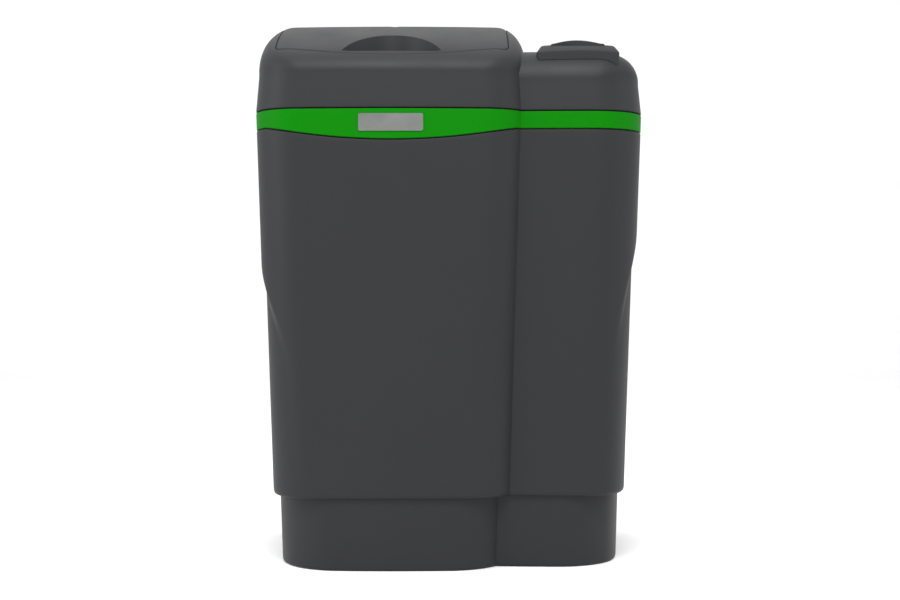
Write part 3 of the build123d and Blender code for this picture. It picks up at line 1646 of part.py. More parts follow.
nodes = {
    "cabinet_body": make_cabinet_body(),
    "trim_band": make_trim_band(),
    "badge_plate": make_badge_plate(),
    "top_cover": make_top_cover(),
    "fill_lid": make_fill_lid(),
    "hinge_pins": make_lid_hinge_pins() + [make_cap_hinge_pin()],
    "service_cap": make_service_cap(),
    "rear_screws": make_rear_screws(),
    "media_tank": make_media_tank(),
    "tank_boot": make_tank_boot(),
    "gravel_bed": make_gravel_bed(),
    "filter_media": make_filter_media(),
    "riser_tube": make_riser_tube(),
    "tank_screens": [make_lower_screen(), make_upper_screen()],
    "neck_insert": make_neck_insert(),
    "valve_body": make_valve_body(),
    "injector": make_injector(),
    "injector_cap": make_injector_cap(),
    "spacer_stack": make_spacer_stack(),
    "piston_seals": make_piston_seals(),
    "piston_rod": make_piston_rod(),
    "end_plug": make_end_plug(),
    "drive_gear": make_drive_gear(),
    "reduction_gear": make_reduction_gear(),
    "motor_pinion": make_motor_pinion(),
    "drive_motor": make_drive_motor(),
    "motor_screws": make_motor_screws(),
    "gear_bracket": make_gear_bracket(),
    "gear_axle": make_gear_axle(),
    "control_housing": make_control_housing(),
    "display_window": make_display_window(),
    "circuit_board": make_circuit_board(),
    "menu_button": make_button(0),
    "down_button": make_button(1),
    "up_button": make_button(2),
    "rinse_button": make_button(3),
    "brine_elbow": make_brine_elbow(),
    "brine_tube": make_brine_tube(),
    "drain_elbow": make_drain_elbow(),
    "meter_cage": make_meter_cage(),
    "flow_turbine": make_flow_turbine(),
    "water_seals": make_port_seals() + [make_neck_seal()],
    "port_clips": make_port_clips(),
    "bypass_body": make_bypass_body(),
    "bypass_bonnets": make_bypass_bonnets(),
    "inlet_rotor": make_rotor(port_places[0]),
    "inlet_handle": make_handle(port_places[0]),
    "outlet_rotor": make_rotor(port_places[1]),
    "outlet_handle": make_handle(port_places[1]),
    "union_nuts": make_union_nuts(),
    "port_tailpieces": make_port_tailpieces(),
    "overflow_elbow": make_overflow_elbow(),
    "overflow_nut": make_overflow_nut(),
    "power_inlet": make_power_inlet(),
    "salt_platform": make_salt_platform(),
    "brine_well": make_brine_well(),
    "well_cap": make_well_cap(),
    "shutoff_valve": make_shutoff_valve(),
    "pickup_tube": [make_pickup_tube(), make_air_check()],
    "brine_float": make_brine_float(),
}

os.makedirs("parts", exist_ok=True)
for name, shape in nodes.items():
    part = Compound(children=shape) if isinstance(shape, list) else shape
    export_step(part, "parts/" + name + ".step")
    print(name, round(part.volume), "cubic mm")
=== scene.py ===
import math

import bmesh
import bpy
import numpy as np
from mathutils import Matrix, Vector
from mathutils.geometry import delaunay_2d_cdt


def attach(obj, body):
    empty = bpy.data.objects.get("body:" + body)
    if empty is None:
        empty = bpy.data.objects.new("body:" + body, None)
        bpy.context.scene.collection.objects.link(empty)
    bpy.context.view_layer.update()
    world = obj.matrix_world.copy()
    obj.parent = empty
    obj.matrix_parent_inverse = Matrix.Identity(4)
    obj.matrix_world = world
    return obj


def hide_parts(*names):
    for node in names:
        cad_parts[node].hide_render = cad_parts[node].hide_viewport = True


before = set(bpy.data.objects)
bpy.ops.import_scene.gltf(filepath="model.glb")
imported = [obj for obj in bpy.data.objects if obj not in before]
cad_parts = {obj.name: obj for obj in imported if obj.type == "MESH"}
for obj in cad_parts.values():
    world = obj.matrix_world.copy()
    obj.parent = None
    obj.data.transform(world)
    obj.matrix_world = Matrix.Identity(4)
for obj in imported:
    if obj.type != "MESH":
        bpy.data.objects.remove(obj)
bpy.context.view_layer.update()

mm = 0.001


def addObject(name, data):
    item = bpy.data.objects.new(name, data)
    bpy.context.scene.collection.objects.link(item)
    return item


# camera: level view from a little above mid height, slightly shifted down
view = {"place": (0.0, -2.405, 0.465), "lens": 55.0, "sensor": 36.0, "shiftDown": 15 / 900, "reach": 60.0}
cameraData = bpy.data.cameras.new("photoCamera")
cameraData.lens = view["lens"]
cameraData.sensor_width = view["sensor"]
cameraData.shift_y = -view["shiftDown"]
cameraData.clip_end = view["reach"]
camera = addObject("photoCamera", cameraData)
camera.location = view["place"]
camera.rotation_euler = (math.radians(90), 0, 0)
bpy.context.scene.camera = camera
print("camera placed")

# sizes in millimetres, as in the part's source
cabinet = {
    "left": -321.5, "divide": 131.5, "right": 321.5, "front": -205.0, "rear": 205.0, "tankFront": -170.0,
    "saltCorner": 80.0, "tankCorner": 84.0, "rearCorner": 30.0, "bow": 1960.0, "overlap": 70.0,
    "slope": math.tan(math.radians(1.8)), "wall": 4.0, "plinth": 118.0, "plinthInset": 7.6,
    "plinthCorners": 34.0, "bandBottom": 720.5, "bandTop": 748.0, "gap": 2.2, "partitionX": 50.0,
    "partitionTop": 678.0, "window": (82.0, 250.0, 560.0, 672.0, 12.0),
}
cabinet["saltMiddle"] = (cabinet["left"] + cabinet["divide"]) / 2
cabinet["tankMiddle"] = (cabinet["divide"] + cabinet["right"]) / 2
bodyTop = cabinet["bandBottom"] - cabinet["gap"]
coverBottom = cabinet["bandTop"] + cabinet["gap"]
crown = {
    "lean": 4.4,
    "salt": {"top": 912.0, "height": 104.0, "side": 40.0, "front": 174.0, "rear": 32.0, "corner": 80.0,
             "topCorner": 12.0},
    "tank": {"top": 854.0, "height": 56.0, "side": 52.0, "front": 60.0, "rear": 30.0, "corner": 84.0,
             "topCorner": 36.0},
}


def smooth(share):
    return share * share * (3 - 2 * share)


def atHeight(xy, z):
    return np.column_stack([xy, np.broadcast_to(z, len(xy))])


# outlines seen from above
def plan(left, right, front, rear, middle, frontLeft, frontRight, rearRight, rearLeft, bow=cabinet["bow"]):
    return {"left": left, "right": right, "front": front, "rear": rear, "middle": middle, "bow": bow,
            "fl": frontLeft, "fr": frontRight, "rr": rearRight, "rl": rearLeft}


def frontCorner(p, side):
    radius = p["fl"] if side < 0 else p["fr"]
    x = p["left"] + radius if side < 0 else p["right"] - radius
    bowY = p["front"] + p["bow"]
    y = bowY - np.sqrt((p["bow"] - radius) ** 2 - (p["middle"] - x) ** 2)
    return x, y, radius, bowY


def planDistance(p, x, y):  # signed, negative inside
    bowY = p["front"] + p["bow"]
    d = np.hypot(x - p["middle"], y - bowY) - p["bow"]
    d = np.maximum(np.maximum(d, p["left"] - x), np.maximum(x - p["right"], y - p["rear"]))
    for side, radius in ((-1, p["rl"]), (1, p["rr"])):
        cx = p["left"] + radius if side < 0 else p["right"] - radius
        cy = p["rear"] - radius
        d = np.where((side * (x - cx) > 0) & (y > cy), np.hypot(x - cx, y - cy) - radius, d)
    for side in (-1, 1):
        cx, cy, radius, bowY = frontCorner(p, side)
        cross = (cx - p["middle"]) * (y - bowY) - (cy - bowY) * (x - p["middle"])
        d = np.where((side * cross > 0) & (y < cy), np.hypot(x - cx, y - cy) - radius, d)
    return d


def arc(cx, cy, radius, start, end, count):
    angle = start + (end - start) * np.arange(count) / count
    return np.stack([cx + radius * np.cos(angle), cy + radius * np.sin(angle)], 1)


def unitCircle(count):
    turn = np.linspace(0, 2 * math.pi, count + 1)[:-1]
    return np.stack([np.cos(turn), np.sin(turn)], 1)


def run(a, b, count):
    share = (np.arange(count) / count)[:, None]
    return np.array(a)[None] * (1 - share) + np.array(b)[None] * share


def backHalf(left, right, rear, leftRadius, rightRadius, leftStart, rightStart, counts):
    return [
        run((right, rightStart), (right, rear - rightRadius), counts["side"]),
        arc(right - rightRadius, rear - rightRadius, rightRadius, 0, math.pi / 2, counts["rearCorner"]),
        run((right - rightRadius, rear), (left + leftRadius, rear), counts["rear"]),
        arc(left + leftRadius, rear - leftRadius, leftRadius, math.pi / 2, math.pi, counts["rearCorner"]),
        run((left, rear - leftRadius), (left, leftStart), counts["side"]),
    ]


def bisect(low, high, holds, count):  # where a test that holds at low stops to hold
    for _ in range(count):
        mid = (low + high) / 2
        inside = holds(mid)
        low, high = np.where(inside, mid, low), np.where(inside, high, mid)
    return low


# points along an outline
lobeCounts = {"bow": 64, "corner": 28, "side": 56, "rearCorner": 10, "rear": 40}
twinCounts = {"bow": 60, "joint": 18, "tankBow": 24, "corner": 36, "side": 64, "rearCorner": 10, "rear": 40}


def outline(p, counts=lobeCounts):
    lx, ly, lr, bowY = frontCorner(p, -1)
    rx, ry, rr, bowY = frontCorner(p, 1)
    aL = math.atan2(ly - bowY, lx - p["middle"])
    aR = math.atan2(ry - bowY, rx - p["middle"])
    return np.concatenate([
        arc(p["middle"], bowY, p["bow"], aL, aR, counts["bow"]),
        arc(rx, ry, rr, aR, 0, counts["corner"]),
        *backHalf(p["left"], p["right"], p["rear"], p["rl"], p["rr"], ly, ry, counts),
        arc(lx, ly, lr, -math.pi, aL, counts["corner"]),
    ])


def saltPlan(inset, extra, growth=0.0):
    c = cabinet
    corner = c["saltCorner"] + growth - extra
    return plan(c["left"] + inset, c["divide"] - inset, c["front"] + inset, c["rear"] - extra, c["saltMiddle"],
                corner, corner, 0.0, c["rearCorner"] - extra)


def tankPlan(inset, extra, growth=0.0):
    c = cabinet
    return plan(c["divide"] - c["overlap"], c["right"] - inset, c["tankFront"] + inset, c["rear"] - extra,
                c["tankMiddle"], 0.0, c["tankCorner"] + growth - extra, c["rearCorner"] - extra, 0.0)


def twinOutline(z, extra, growth=0.0):
    inset = (cabinet["bandTop"] - z) * cabinet["slope"] + extra
    salt = saltPlan(inset, extra, growth)
    tank = tankPlan(inset, extra, growth)
    lx, ly, lr, bowY = frontCorner(salt, -1)
    rx, ry, rr, bowY = frontCorner(salt, 1)
    tx, ty, tr, tankBowY = frontCorner(tank, 1)
    aL = math.atan2(ly - bowY, lx - salt["middle"])
    aR = math.atan2(ry - bowY, rx - salt["middle"])

    def fromTank(turn):  # the salt lobe's corner, seen from the centre of the tank lobe's bow
        return rx + rr * math.cos(turn) - tank["middle"], ry + rr * math.sin(turn) - tankBowY

    joint = float(bisect(aR, 0.0, lambda turn: math.hypot(*fromTank(turn)) > tank["bow"], 40))
    x, y = fromTank(joint)
    aStart = math.atan2(y, x)
    aEnd = math.atan2(ty - tankBowY, tx - tank["middle"])
    counts = twinCounts
    return np.concatenate([
        arc(salt["middle"], bowY, salt["bow"], aL, aR, counts["bow"]),
        arc(rx, ry, rr, aR, joint, counts["joint"]),
        arc(tank["middle"], tankBowY, tank["bow"], aStart, aEnd, counts["tankBow"]),
        arc(tx, ty, tr, aEnd, 0, counts["corner"]),
        *backHalf(salt["left"], tank["right"], salt["rear"], salt["rl"], tank["rr"], ly, ty, counts),
        arc(lx, ly, lr, -math.pi, aL, counts["corner"]),
    ])


# crowns of the two lobes as height fields
def crownStart(which):
    return crown[which]["top"] - crown[which]["height"]


def wallLean(which, z):  # how far the cover's wall leans out below its crown
    start = crownStart(which)
    return crown["lean"] * np.clip((start - z) / (start - coverBottom), 0, 1)


def crownPlan(which, turn, depth):
    size = crown[which]
    share = turn / (math.pi / 2)
    side = crown["lean"] + size["side"] * (1 - np.cos(turn)) + depth * np.cos(turn)
    rearInset = size["rear"] * (1 - np.cos(turn)) + depth * np.cos(turn)
    corner = size["corner"] - depth + (size["topCorner"] - size["corner"]) * share
    c = cabinet
    rearCorner = c["rearCorner"] - depth
    if which == "salt":
        front = crown["lean"] + size["front"] * np.sin(turn) ** 2 + depth * np.cos(turn)
        return plan(c["left"] + side, c["divide"] - side, c["front"] + front, c["rear"] - rearInset,
                    c["saltMiddle"], corner, corner, rearCorner, rearCorner)
    front = crown["lean"] + size["front"] * (1 - np.cos(turn)) + depth * np.cos(turn)
    return plan(c["divide"] - c["overlap"], c["right"] - side, c["tankFront"] + front, c["rear"] - rearInset,
                c["tankMiddle"], 0.0, corner, rearCorner, 0.0)


def crownHeight(which, x, y, depth=0.0):
    turn = bisect(np.zeros_like(x), np.full_like(x, math.pi / 2),
                  lambda turn: planDistance(crownPlan(which, turn, depth), x, y) < 0, 30)
    return crownStart(which) + (crown[which]["height"] - depth) * np.sin(turn)


def levelDistance(which, x, y, z):  # horizontal distance to the lobe's outer wall at that height
    turn = np.arcsin(np.clip((z - crownStart(which)) / crown[which]["height"], 0, 1))
    lean = wallLean(which, z)
    p = crownPlan(which, turn, 0.0)
    p["front"], p["right"] = p["front"] - lean, p["right"] + lean
    if which == "salt":
        p["left"] = p["left"] - lean
    return planDistance(p, x, y)


# meshes from rings of points
def newStore():
    return {"points": [], "faces": []}


def joinStore(store, *parts):
    for part in parts:
        base = len(store["points"])
        store["points"].extend(part["points"])
        store["faces"].extend(tuple(i + base for i in face) for face in part["faces"])


def addGrid(store, rings, wrapRings=False, flip=False, open=False):
    rings = np.asarray(rings, float)
    count, around = rings.shape[:2]
    base = len(store["points"])
    store["points"].extend(rings.reshape(-1, 3).tolist())
    last = count if wrapRings else count - 1
    stop = around - 1 if open else around
    for r in range(last):
        a = base + r * around
        b = base + ((r + 1) % count) * around
        for u in range(stop):
            v = (u + 1) % around
            face = (a + u, a + v, b + v, b + u)
            store["faces"].append(face[::-1] if flip else face)
    return base


def addCap(store, ring, flip=False):
    base = len(store["points"])
    store["points"].extend(np.asarray(ring, float).tolist())
    count = len(ring)
    edges = [(k, (k + 1) % count) for k in range(count)]
    flat = [Vector((p[0], p[1])) for p in ring]
    filled = delaunay_2d_cdt(flat, edges, [], 1, 1e-5)
    faces, sources = filled[2], filled[3]
    for face in faces:
        corners = [base + sources[k][0] for k in face]
        store["faces"].append(tuple(corners[::-1] if flip else corners))


def clipStore(store, value):  # keeps what is at or below zero
    points = store["points"]
    values = list(map(float, value(np.array(points))))
    cuts = {}
    faces = []

    def cut(a, b):
        key = (min(a, b), max(a, b))
        if key not in cuts:
            share = values[a] / (values[a] - values[b])
            points.append([p + (q - p) * share for p, q in zip(points[a], points[b])])
            values.append(0.0)
            cuts[key] = len(points) - 1
        return cuts[key]

    for face in store["faces"]:
        if all(values[i] <= 0 for i in face):
            faces.append(face)
            continue
        if all(values[i] > 0 for i in face):
            continue
        kept = []
        for i, a in enumerate(face):
            b = face[(i + 1) % len(face)]
            if values[a] <= 0:
                kept.append(a)
            if (values[a] <= 0) != (values[b] <= 0):
                kept.append(cut(a, b))
        if len(kept) > 2:
            faces.append(tuple(kept))
    store["faces"] = faces


def finishPiece(name, mesh, body, angle):  # smooth up to the angle, sharp above it
    mesh.shade_smooth()
    mesh.set_sharp_from_angle(angle=math.radians(angle))
    piece = addObject(name, mesh)
    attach(piece, body)
    return piece


def makePiece(name, store, material, body, angle=32.0, merge=0.004, second=None):
    mesh = bpy.data.meshes.new(name)
    mesh.from_pydata([[c * mm for c in p] for p in store["points"]], [], store["faces"])
    mesh.materials.append(material)
    if second:  # faces added after a count take the other finish
        mesh.materials.append(second[1])
        for face in mesh.polygons:
            face.material_index = 1 if face.index >= second[0] else 0
    bm = bmesh.new()
    bm.from_mesh(mesh)
    bmesh.ops.remove_doubles(bm, verts=bm.verts, dist=merge * mm)
    loose = [v for v in bm.verts if not v.link_faces]
    bmesh.ops.delete(bm, geom=loose, context="VERTS")
    bm.to_mesh(mesh)
    bm.free()
    return finishPiece(name, mesh, body, angle)


# node trees: a socket or a list of sockets given as an input is linked, anything else is set
def setInputs(tree, node, inputs):
    for name, value in inputs.items():
        sockets = value if isinstance(value, list) else [value]
        if isinstance(sockets[0], bpy.types.NodeSocket):
            for socket in sockets:
                tree.links.new(socket, node.inputs[name])
        else:
            node.inputs[name].default_value = value


def addNode(tree, kind, inputs, **settings):
    node = tree.nodes.new(kind)
    for key, value in settings.items():
        setattr(node, key, value)
    setInputs(tree, node, inputs)
    return node.outputs


def calc(tree, operation, *values):
    return addNode(tree, "ShaderNodeMath", dict(enumerate(values)), operation=operation)[0]


# finishes
def newMaterial(name):
    material = bpy.data.materials.new(name)
    material.use_nodes = True
    tree = material.node_tree
    return material, tree, addNode(tree, "ShaderNodeTexCoord", {})["Object"], tree.nodes["Principled BSDF"]


def noise(tree, source, scale, detail=4.0, stretch=None):
    if stretch:
        source = addNode(tree, "ShaderNodeMapping", {"Vector": source, "Scale": stretch})["Vector"]
    return addNode(tree, "ShaderNodeTexNoise", {"Vector": source, "Scale": scale, "Detail": detail})["Fac"]


def remap(tree, source, low, high, fromLow=0.3, fromHigh=0.7):
    return addNode(tree, "ShaderNodeMapRange", {"Value": source, "From Min": fromLow, "From Max": fromHigh,
                                                "To Min": low, "To Max": high})["Result"]


def mixColours(tree, factor, first, second):
    return addNode(tree, "ShaderNodeMix", {"Factor": factor, "A": (*first, 1), "B": (*second, 1)},
                   data_type="RGBA")["Result"]


def relief(tree, height, strength, depth, **settings):
    return addNode(tree, "ShaderNodeBump", {"Height": height, "Strength": strength, "Distance": depth * mm},
                   **settings)["Normal"]


def shade(colour, factor):
    return tuple(min(1.0, c * factor) for c in colour)


def mouldedPlastic(name, colour, roughness, grain=0.0009, grainDepth=0.06, specular=0.5, drift=0.10):
    material, tree, place, shader = newMaterial(name)
    speckle = calc(tree, "MULTIPLY", noise(tree, place, 900.0, 2.0), 0.3)
    blend = calc(tree, "MULTIPLY_ADD", noise(tree, place, 5.0, 5.0), 0.7, speckle)
    rubbed = noise(tree, place, 14.0, 6.0, (1.0, 1.0, 0.35))
    fine = relief(tree, noise(tree, place, 1.0 / grain, 3.0), 0.35, grainDepth)
    wavy = addNode(tree, "ShaderNodeBump", {"Height": noise(tree, place, 9.0, 2.0), "Strength": 0.25,
                                            "Distance": 0.25 * mm, "Normal": fine})["Normal"]
    setInputs(tree, shader, {
        "Base Color": mixColours(tree, blend, shade(colour, 1 - drift), shade(colour, 1 + drift)),
        "Roughness": remap(tree, rubbed, roughness - 0.03, roughness + 0.04),
        "Specular IOR Level": specular, "Normal": wavy})
    return material


def brushedMetal(name, colour, roughness, along=(1.0, 1.0, 60.0), scale=40.0):
    material, tree, place, shader = newMaterial(name)
    hair = noise(tree, place, scale, 5.0, along)
    blot = noise(tree, place, 25.0, 4.0)
    setInputs(tree, shader, {
        "Base Color": mixColours(tree, hair, shade(colour, 0.88), shade(colour, 1.08)),
        "Roughness": remap(tree, blot, roughness - 0.07, roughness + 0.09),
        "Metallic": 1.0, "Normal": relief(tree, hair, 0.2, 0.05)})
    return material


def grains(name, dark, light, size, roughness=0.75, depth=0.8):
    material, tree, place, shader = newMaterial(name)
    cells = addNode(tree, "ShaderNodeTexVoronoi", {"Vector": place, "Scale": 1.0 / size})
    tone = addNode(tree, "ShaderNodeSeparateColor", {"Color": cells["Color"]})
    setInputs(tree, shader, {
        "Base Color": mixColours(tree, tone["Red"], dark, light),
        "Roughness": remap(tree, tone["Green"], roughness - 0.1, roughness + 0.1, 0, 1),
        "Normal": relief(tree, cells["Distance"], 0.8, depth, invert=True)})
    return material


def clearWindow(name, colour):
    material, tree, place, shader = newMaterial(name)
    smear = noise(tree, place, 60.0, 4.0)
    setInputs(tree, shader, {
        "Base Color": mixColours(tree, smear, shade(colour, 0.9), colour),
        "Roughness": remap(tree, smear, 0.04, 0.16), "Transmission Weight": 0.6, "IOR": 1.46})
    return material


finish = {
    "shell": mouldedPlastic("shellGrey", (0.0168, 0.0173, 0.0188), 0.5, specular=0.20),
    "green": mouldedPlastic("bandGreen", (0.0017, 0.146, 0.0004), 0.5, grain=0.0014, grainDepth=0.03,
                            specular=0.055, drift=0.05),
    # painted shade: the band's tongue is green in the part, and is coloured near-black so the gaps above and
    # below the band show as shadow lines
    "tongue": mouldedPlastic("tonguePaintedShade", (0.008, 0.008, 0.008), 0.7, specular=0.2),
    "badge": brushedMetal("badgeSilver", (0.205, 0.212, 0.205), 0.42, along=(1.0, 1.0, 40.0)),
    "steel": brushedMetal("pinSteel", (0.56, 0.56, 0.55), 0.3),
    "screw": brushedMetal("screwZinc", (0.50, 0.50, 0.49), 0.33, scale=200.0),
    "tank": mouldedPlastic("tankWound", (0.028, 0.028, 0.03), 0.5, grain=0.004, grainDepth=0.5),
    "boot": mouldedPlastic("bootRubber", (0.014, 0.014, 0.014), 0.72, grainDepth=0.1),
    "gravel": grains("gravelStones", (0.20, 0.17, 0.13), (0.46, 0.42, 0.35), 0.004, depth=1.5),
    "media": grains("resinBeads", (0.30, 0.12, 0.02), (0.55, 0.27, 0.06), 0.0012, 0.4, 0.3),
    "natural": mouldedPlastic("naturalPlastic", (0.58, 0.58, 0.55), 0.4),
    "valve": mouldedPlastic("valveBlack", (0.022, 0.022, 0.024), 0.45, grain=0.0012, grainDepth=0.08),
    "seal": mouldedPlastic("sealRubber", (0.012, 0.012, 0.012), 0.35),
    "piston": mouldedPlastic("pistonCoat", (0.07, 0.08, 0.07), 0.25),
    "gear": mouldedPlastic("gearWhite", (0.66, 0.66, 0.63), 0.42),
    "motor": brushedMetal("motorCan", (0.34, 0.34, 0.35), 0.38, scale=90.0),
    "housing": mouldedPlastic("housingGrey", (0.045, 0.047, 0.050), 0.48, grainDepth=0.1),
    "window": clearWindow("windowClear", (0.30, 0.40, 0.34)),
    "board": mouldedPlastic("boardGreen", (0.010, 0.10, 0.035), 0.3),
    "button": mouldedPlastic("buttonGrey", (0.30, 0.30, 0.30), 0.6),
    "red": mouldedPlastic("handleRed", (0.45, 0.018, 0.010), 0.38),
    "tube": mouldedPlastic("tubeWhite", (0.66, 0.66, 0.66), 0.3),
    "pipe": mouldedPlastic("pipeWhite", (0.70, 0.70, 0.68), 0.35),
    "well": mouldedPlastic("wellWhite", (0.62, 0.63, 0.63), 0.45),
}
looks = {
    "shell": "cabinet_body top_cover fill_lid service_cap",
    "green": "trim_band",
    "badge": "badge_plate",
    "steel": "hinge_pins gear_axle",
    "screw": "rear_screws motor_screws",
    "tank": "media_tank",
    "boot": "tank_boot",
    "gravel": "gravel_bed",
    "media": "filter_media",
    "natural": "riser_tube tank_screens neck_insert injector spacer_stack brine_elbow meter_cage flow_turbine "
               "inlet_rotor outlet_rotor shutoff_valve brine_float",
    "valve": "valve_body injector_cap end_plug gear_bracket drain_elbow bypass_body bypass_bonnets union_nuts "
             "overflow_elbow overflow_nut power_inlet",
    "seal": "piston_seals water_seals",
    "piston": "piston_rod",
    "gear": "drive_gear reduction_gear motor_pinion",
    "motor": "drive_motor",
    "housing": "control_housing",
    "window": "display_window",
    "board": "circuit_board",
    "button": "menu_button down_button up_button rinse_button",
    "red": "port_clips inlet_handle outlet_handle",
    "tube": "brine_tube",
    "pipe": "port_tailpieces pickup_tube",
    "well": "salt_platform brine_well well_cap",
}
nodeFinish = {node: look for look, nodes in looks.items() for node in nodes.split()}


def newTree(name, values):  # takes geometry and named values; the identifiers carry the values to a modifier
    tree = bpy.data.node_groups.new(name, "GeometryNodeTree")
    for way in ("INPUT", "OUTPUT"):
        tree.interface.new_socket("Geometry", in_out=way, socket_type="NodeSocketGeometry")
    carried = {}
    for label, value in values.items():
        kind = "NodeSocketInt" if isinstance(value, int) else "NodeSocketFloat"
        socket = tree.interface.new_socket(label, in_out="INPUT", socket_type=kind)
        socket.default_value = value
        carried[socket.identifier] = value
    given = tree.nodes.new("NodeGroupInput").outputs
    return tree, given, tree.nodes.new("NodeGroupOutput").inputs["Geometry"], carried


def softShading():  # joins a solid's loose triangles and smooths them up to a stated angle
    tree, given, result = newTree("softShading", {"Angle": math.radians(30), "Merge Reach": 0.00001})[:3]
    merged = addNode(tree, "GeometryNodeMergeByDistance",
                     {"Geometry": given["Geometry"], "Distance": given["Merge Reach"]})
    faces = addNode(tree, "GeometryNodeSetShadeSmooth", {"Geometry": merged["Geometry"], "Shade Smooth": True})
    turned = addNode(tree, "GeometryNodeInputMeshEdgeAngle", {})
    sharp = addNode(tree, "FunctionNodeCompare", {0: turned["Unsigned Angle"], 1: given["Angle"]},
                    operation="GREATER_THAN")
    edges = addNode(tree, "GeometryNodeSetShadeSmooth",
                    {"Geometry": faces["Geometry"], "Selection": sharp["Result"], "Shade Smooth": False},
                    domain="EDGE")
    tree.links.new(edges["Geometry"], result)
    return tree


shading = softShading()
for node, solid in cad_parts.items():
    solid.data.materials.clear()
    solid.data.materials.append(finish[nodeFinish[node]])
    for face in solid.data.polygons:
        face.material_index = 0
    modifier = solid.modifiers.new("softShading", "NODES")
    modifier.node_group = shading
print("finishes on", len(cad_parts), "solids")


# cabinet shell with soft-edged flank recesses
flank = {"depth": 7.0, "margin": 12.5, "spring": 308.0, "saltRise": 248.0, "tankRise": 313.0, "ramp": 20.0,
         "fadeFrom": 30.0, "fade": 50.0}


def recessShift(x, y, z):
    shift = np.zeros_like(x)
    lobes = ((-1, cabinet["front"], flank["saltRise"], cabinet["saltMiddle"]),
             (1, cabinet["tankFront"], flank["tankRise"], cabinet["tankMiddle"]))
    for side, front, rise, centre in lobes:
        middle = (front + cabinet["rear"]) / 2
        half = (cabinet["rear"] - front) / 2 - flank["margin"]
        dy, dz = y - middle, np.maximum(z - flank["spring"], 0)
        e = np.sqrt((dy / half) ** 2 + (dz / rise) ** 2) + 1e-9
        slopeOfE = np.sqrt((dy / half ** 2) ** 2 + (dz / rise ** 2) ** 2) / e + 1e-9
        inside = (1 - e) / slopeOfE
        soft = smooth(np.clip(inside / flank["ramp"], 0, 1))
        away = np.clip((side * (x - centre) - flank["fadeFrom"]) / flank["fade"], 0, 1)  # the front stays put
        shift = shift - side * flank["depth"] * soft * smooth(away)
    return shift


lens = {"halfWidth": 205.0, "drop": 20.5, "reach": 110.0}
lens["radius"] = (lens["halfWidth"] ** 2 + lens["drop"] ** 2) / (2 * lens["drop"])


def lensEdge(x, y, gap):  # height of the band's lower edge over the front of the salt lobe
    dx = np.minimum(np.abs(x - cabinet["saltMiddle"]), lens["radius"] - 1)
    level = cabinet["bandBottom"] - gap
    z = level - lens["drop"] + lens["radius"] - np.sqrt(lens["radius"] ** 2 - dx ** 2)
    return np.where(y < cabinet["front"] + lens["reach"], np.minimum(z, level), level)


def slopingRow(z, extra):  # each point takes the outline of its own height
    low, high = twinOutline(z.min() - 1, extra), twinOutline(z.max() + 1, extra)
    share = ((z - z.min() + 1) / (z.max() - z.min() + 2))[:, None]
    return low * (1 - share) + high * share


def bodyRing(z, extra, plinth=False):
    inset = extra + (cabinet["plinthInset"] if plinth else 0.0)
    growth = cabinet["plinthCorners"] if plinth else 0.0
    z = np.asarray(z, float)
    ring = atHeight(slopingRow(z, inset) if z.ndim else twinOutline(float(z), inset, growth), z)
    ring[:, 0] += recessShift(*ring.T)
    return ring


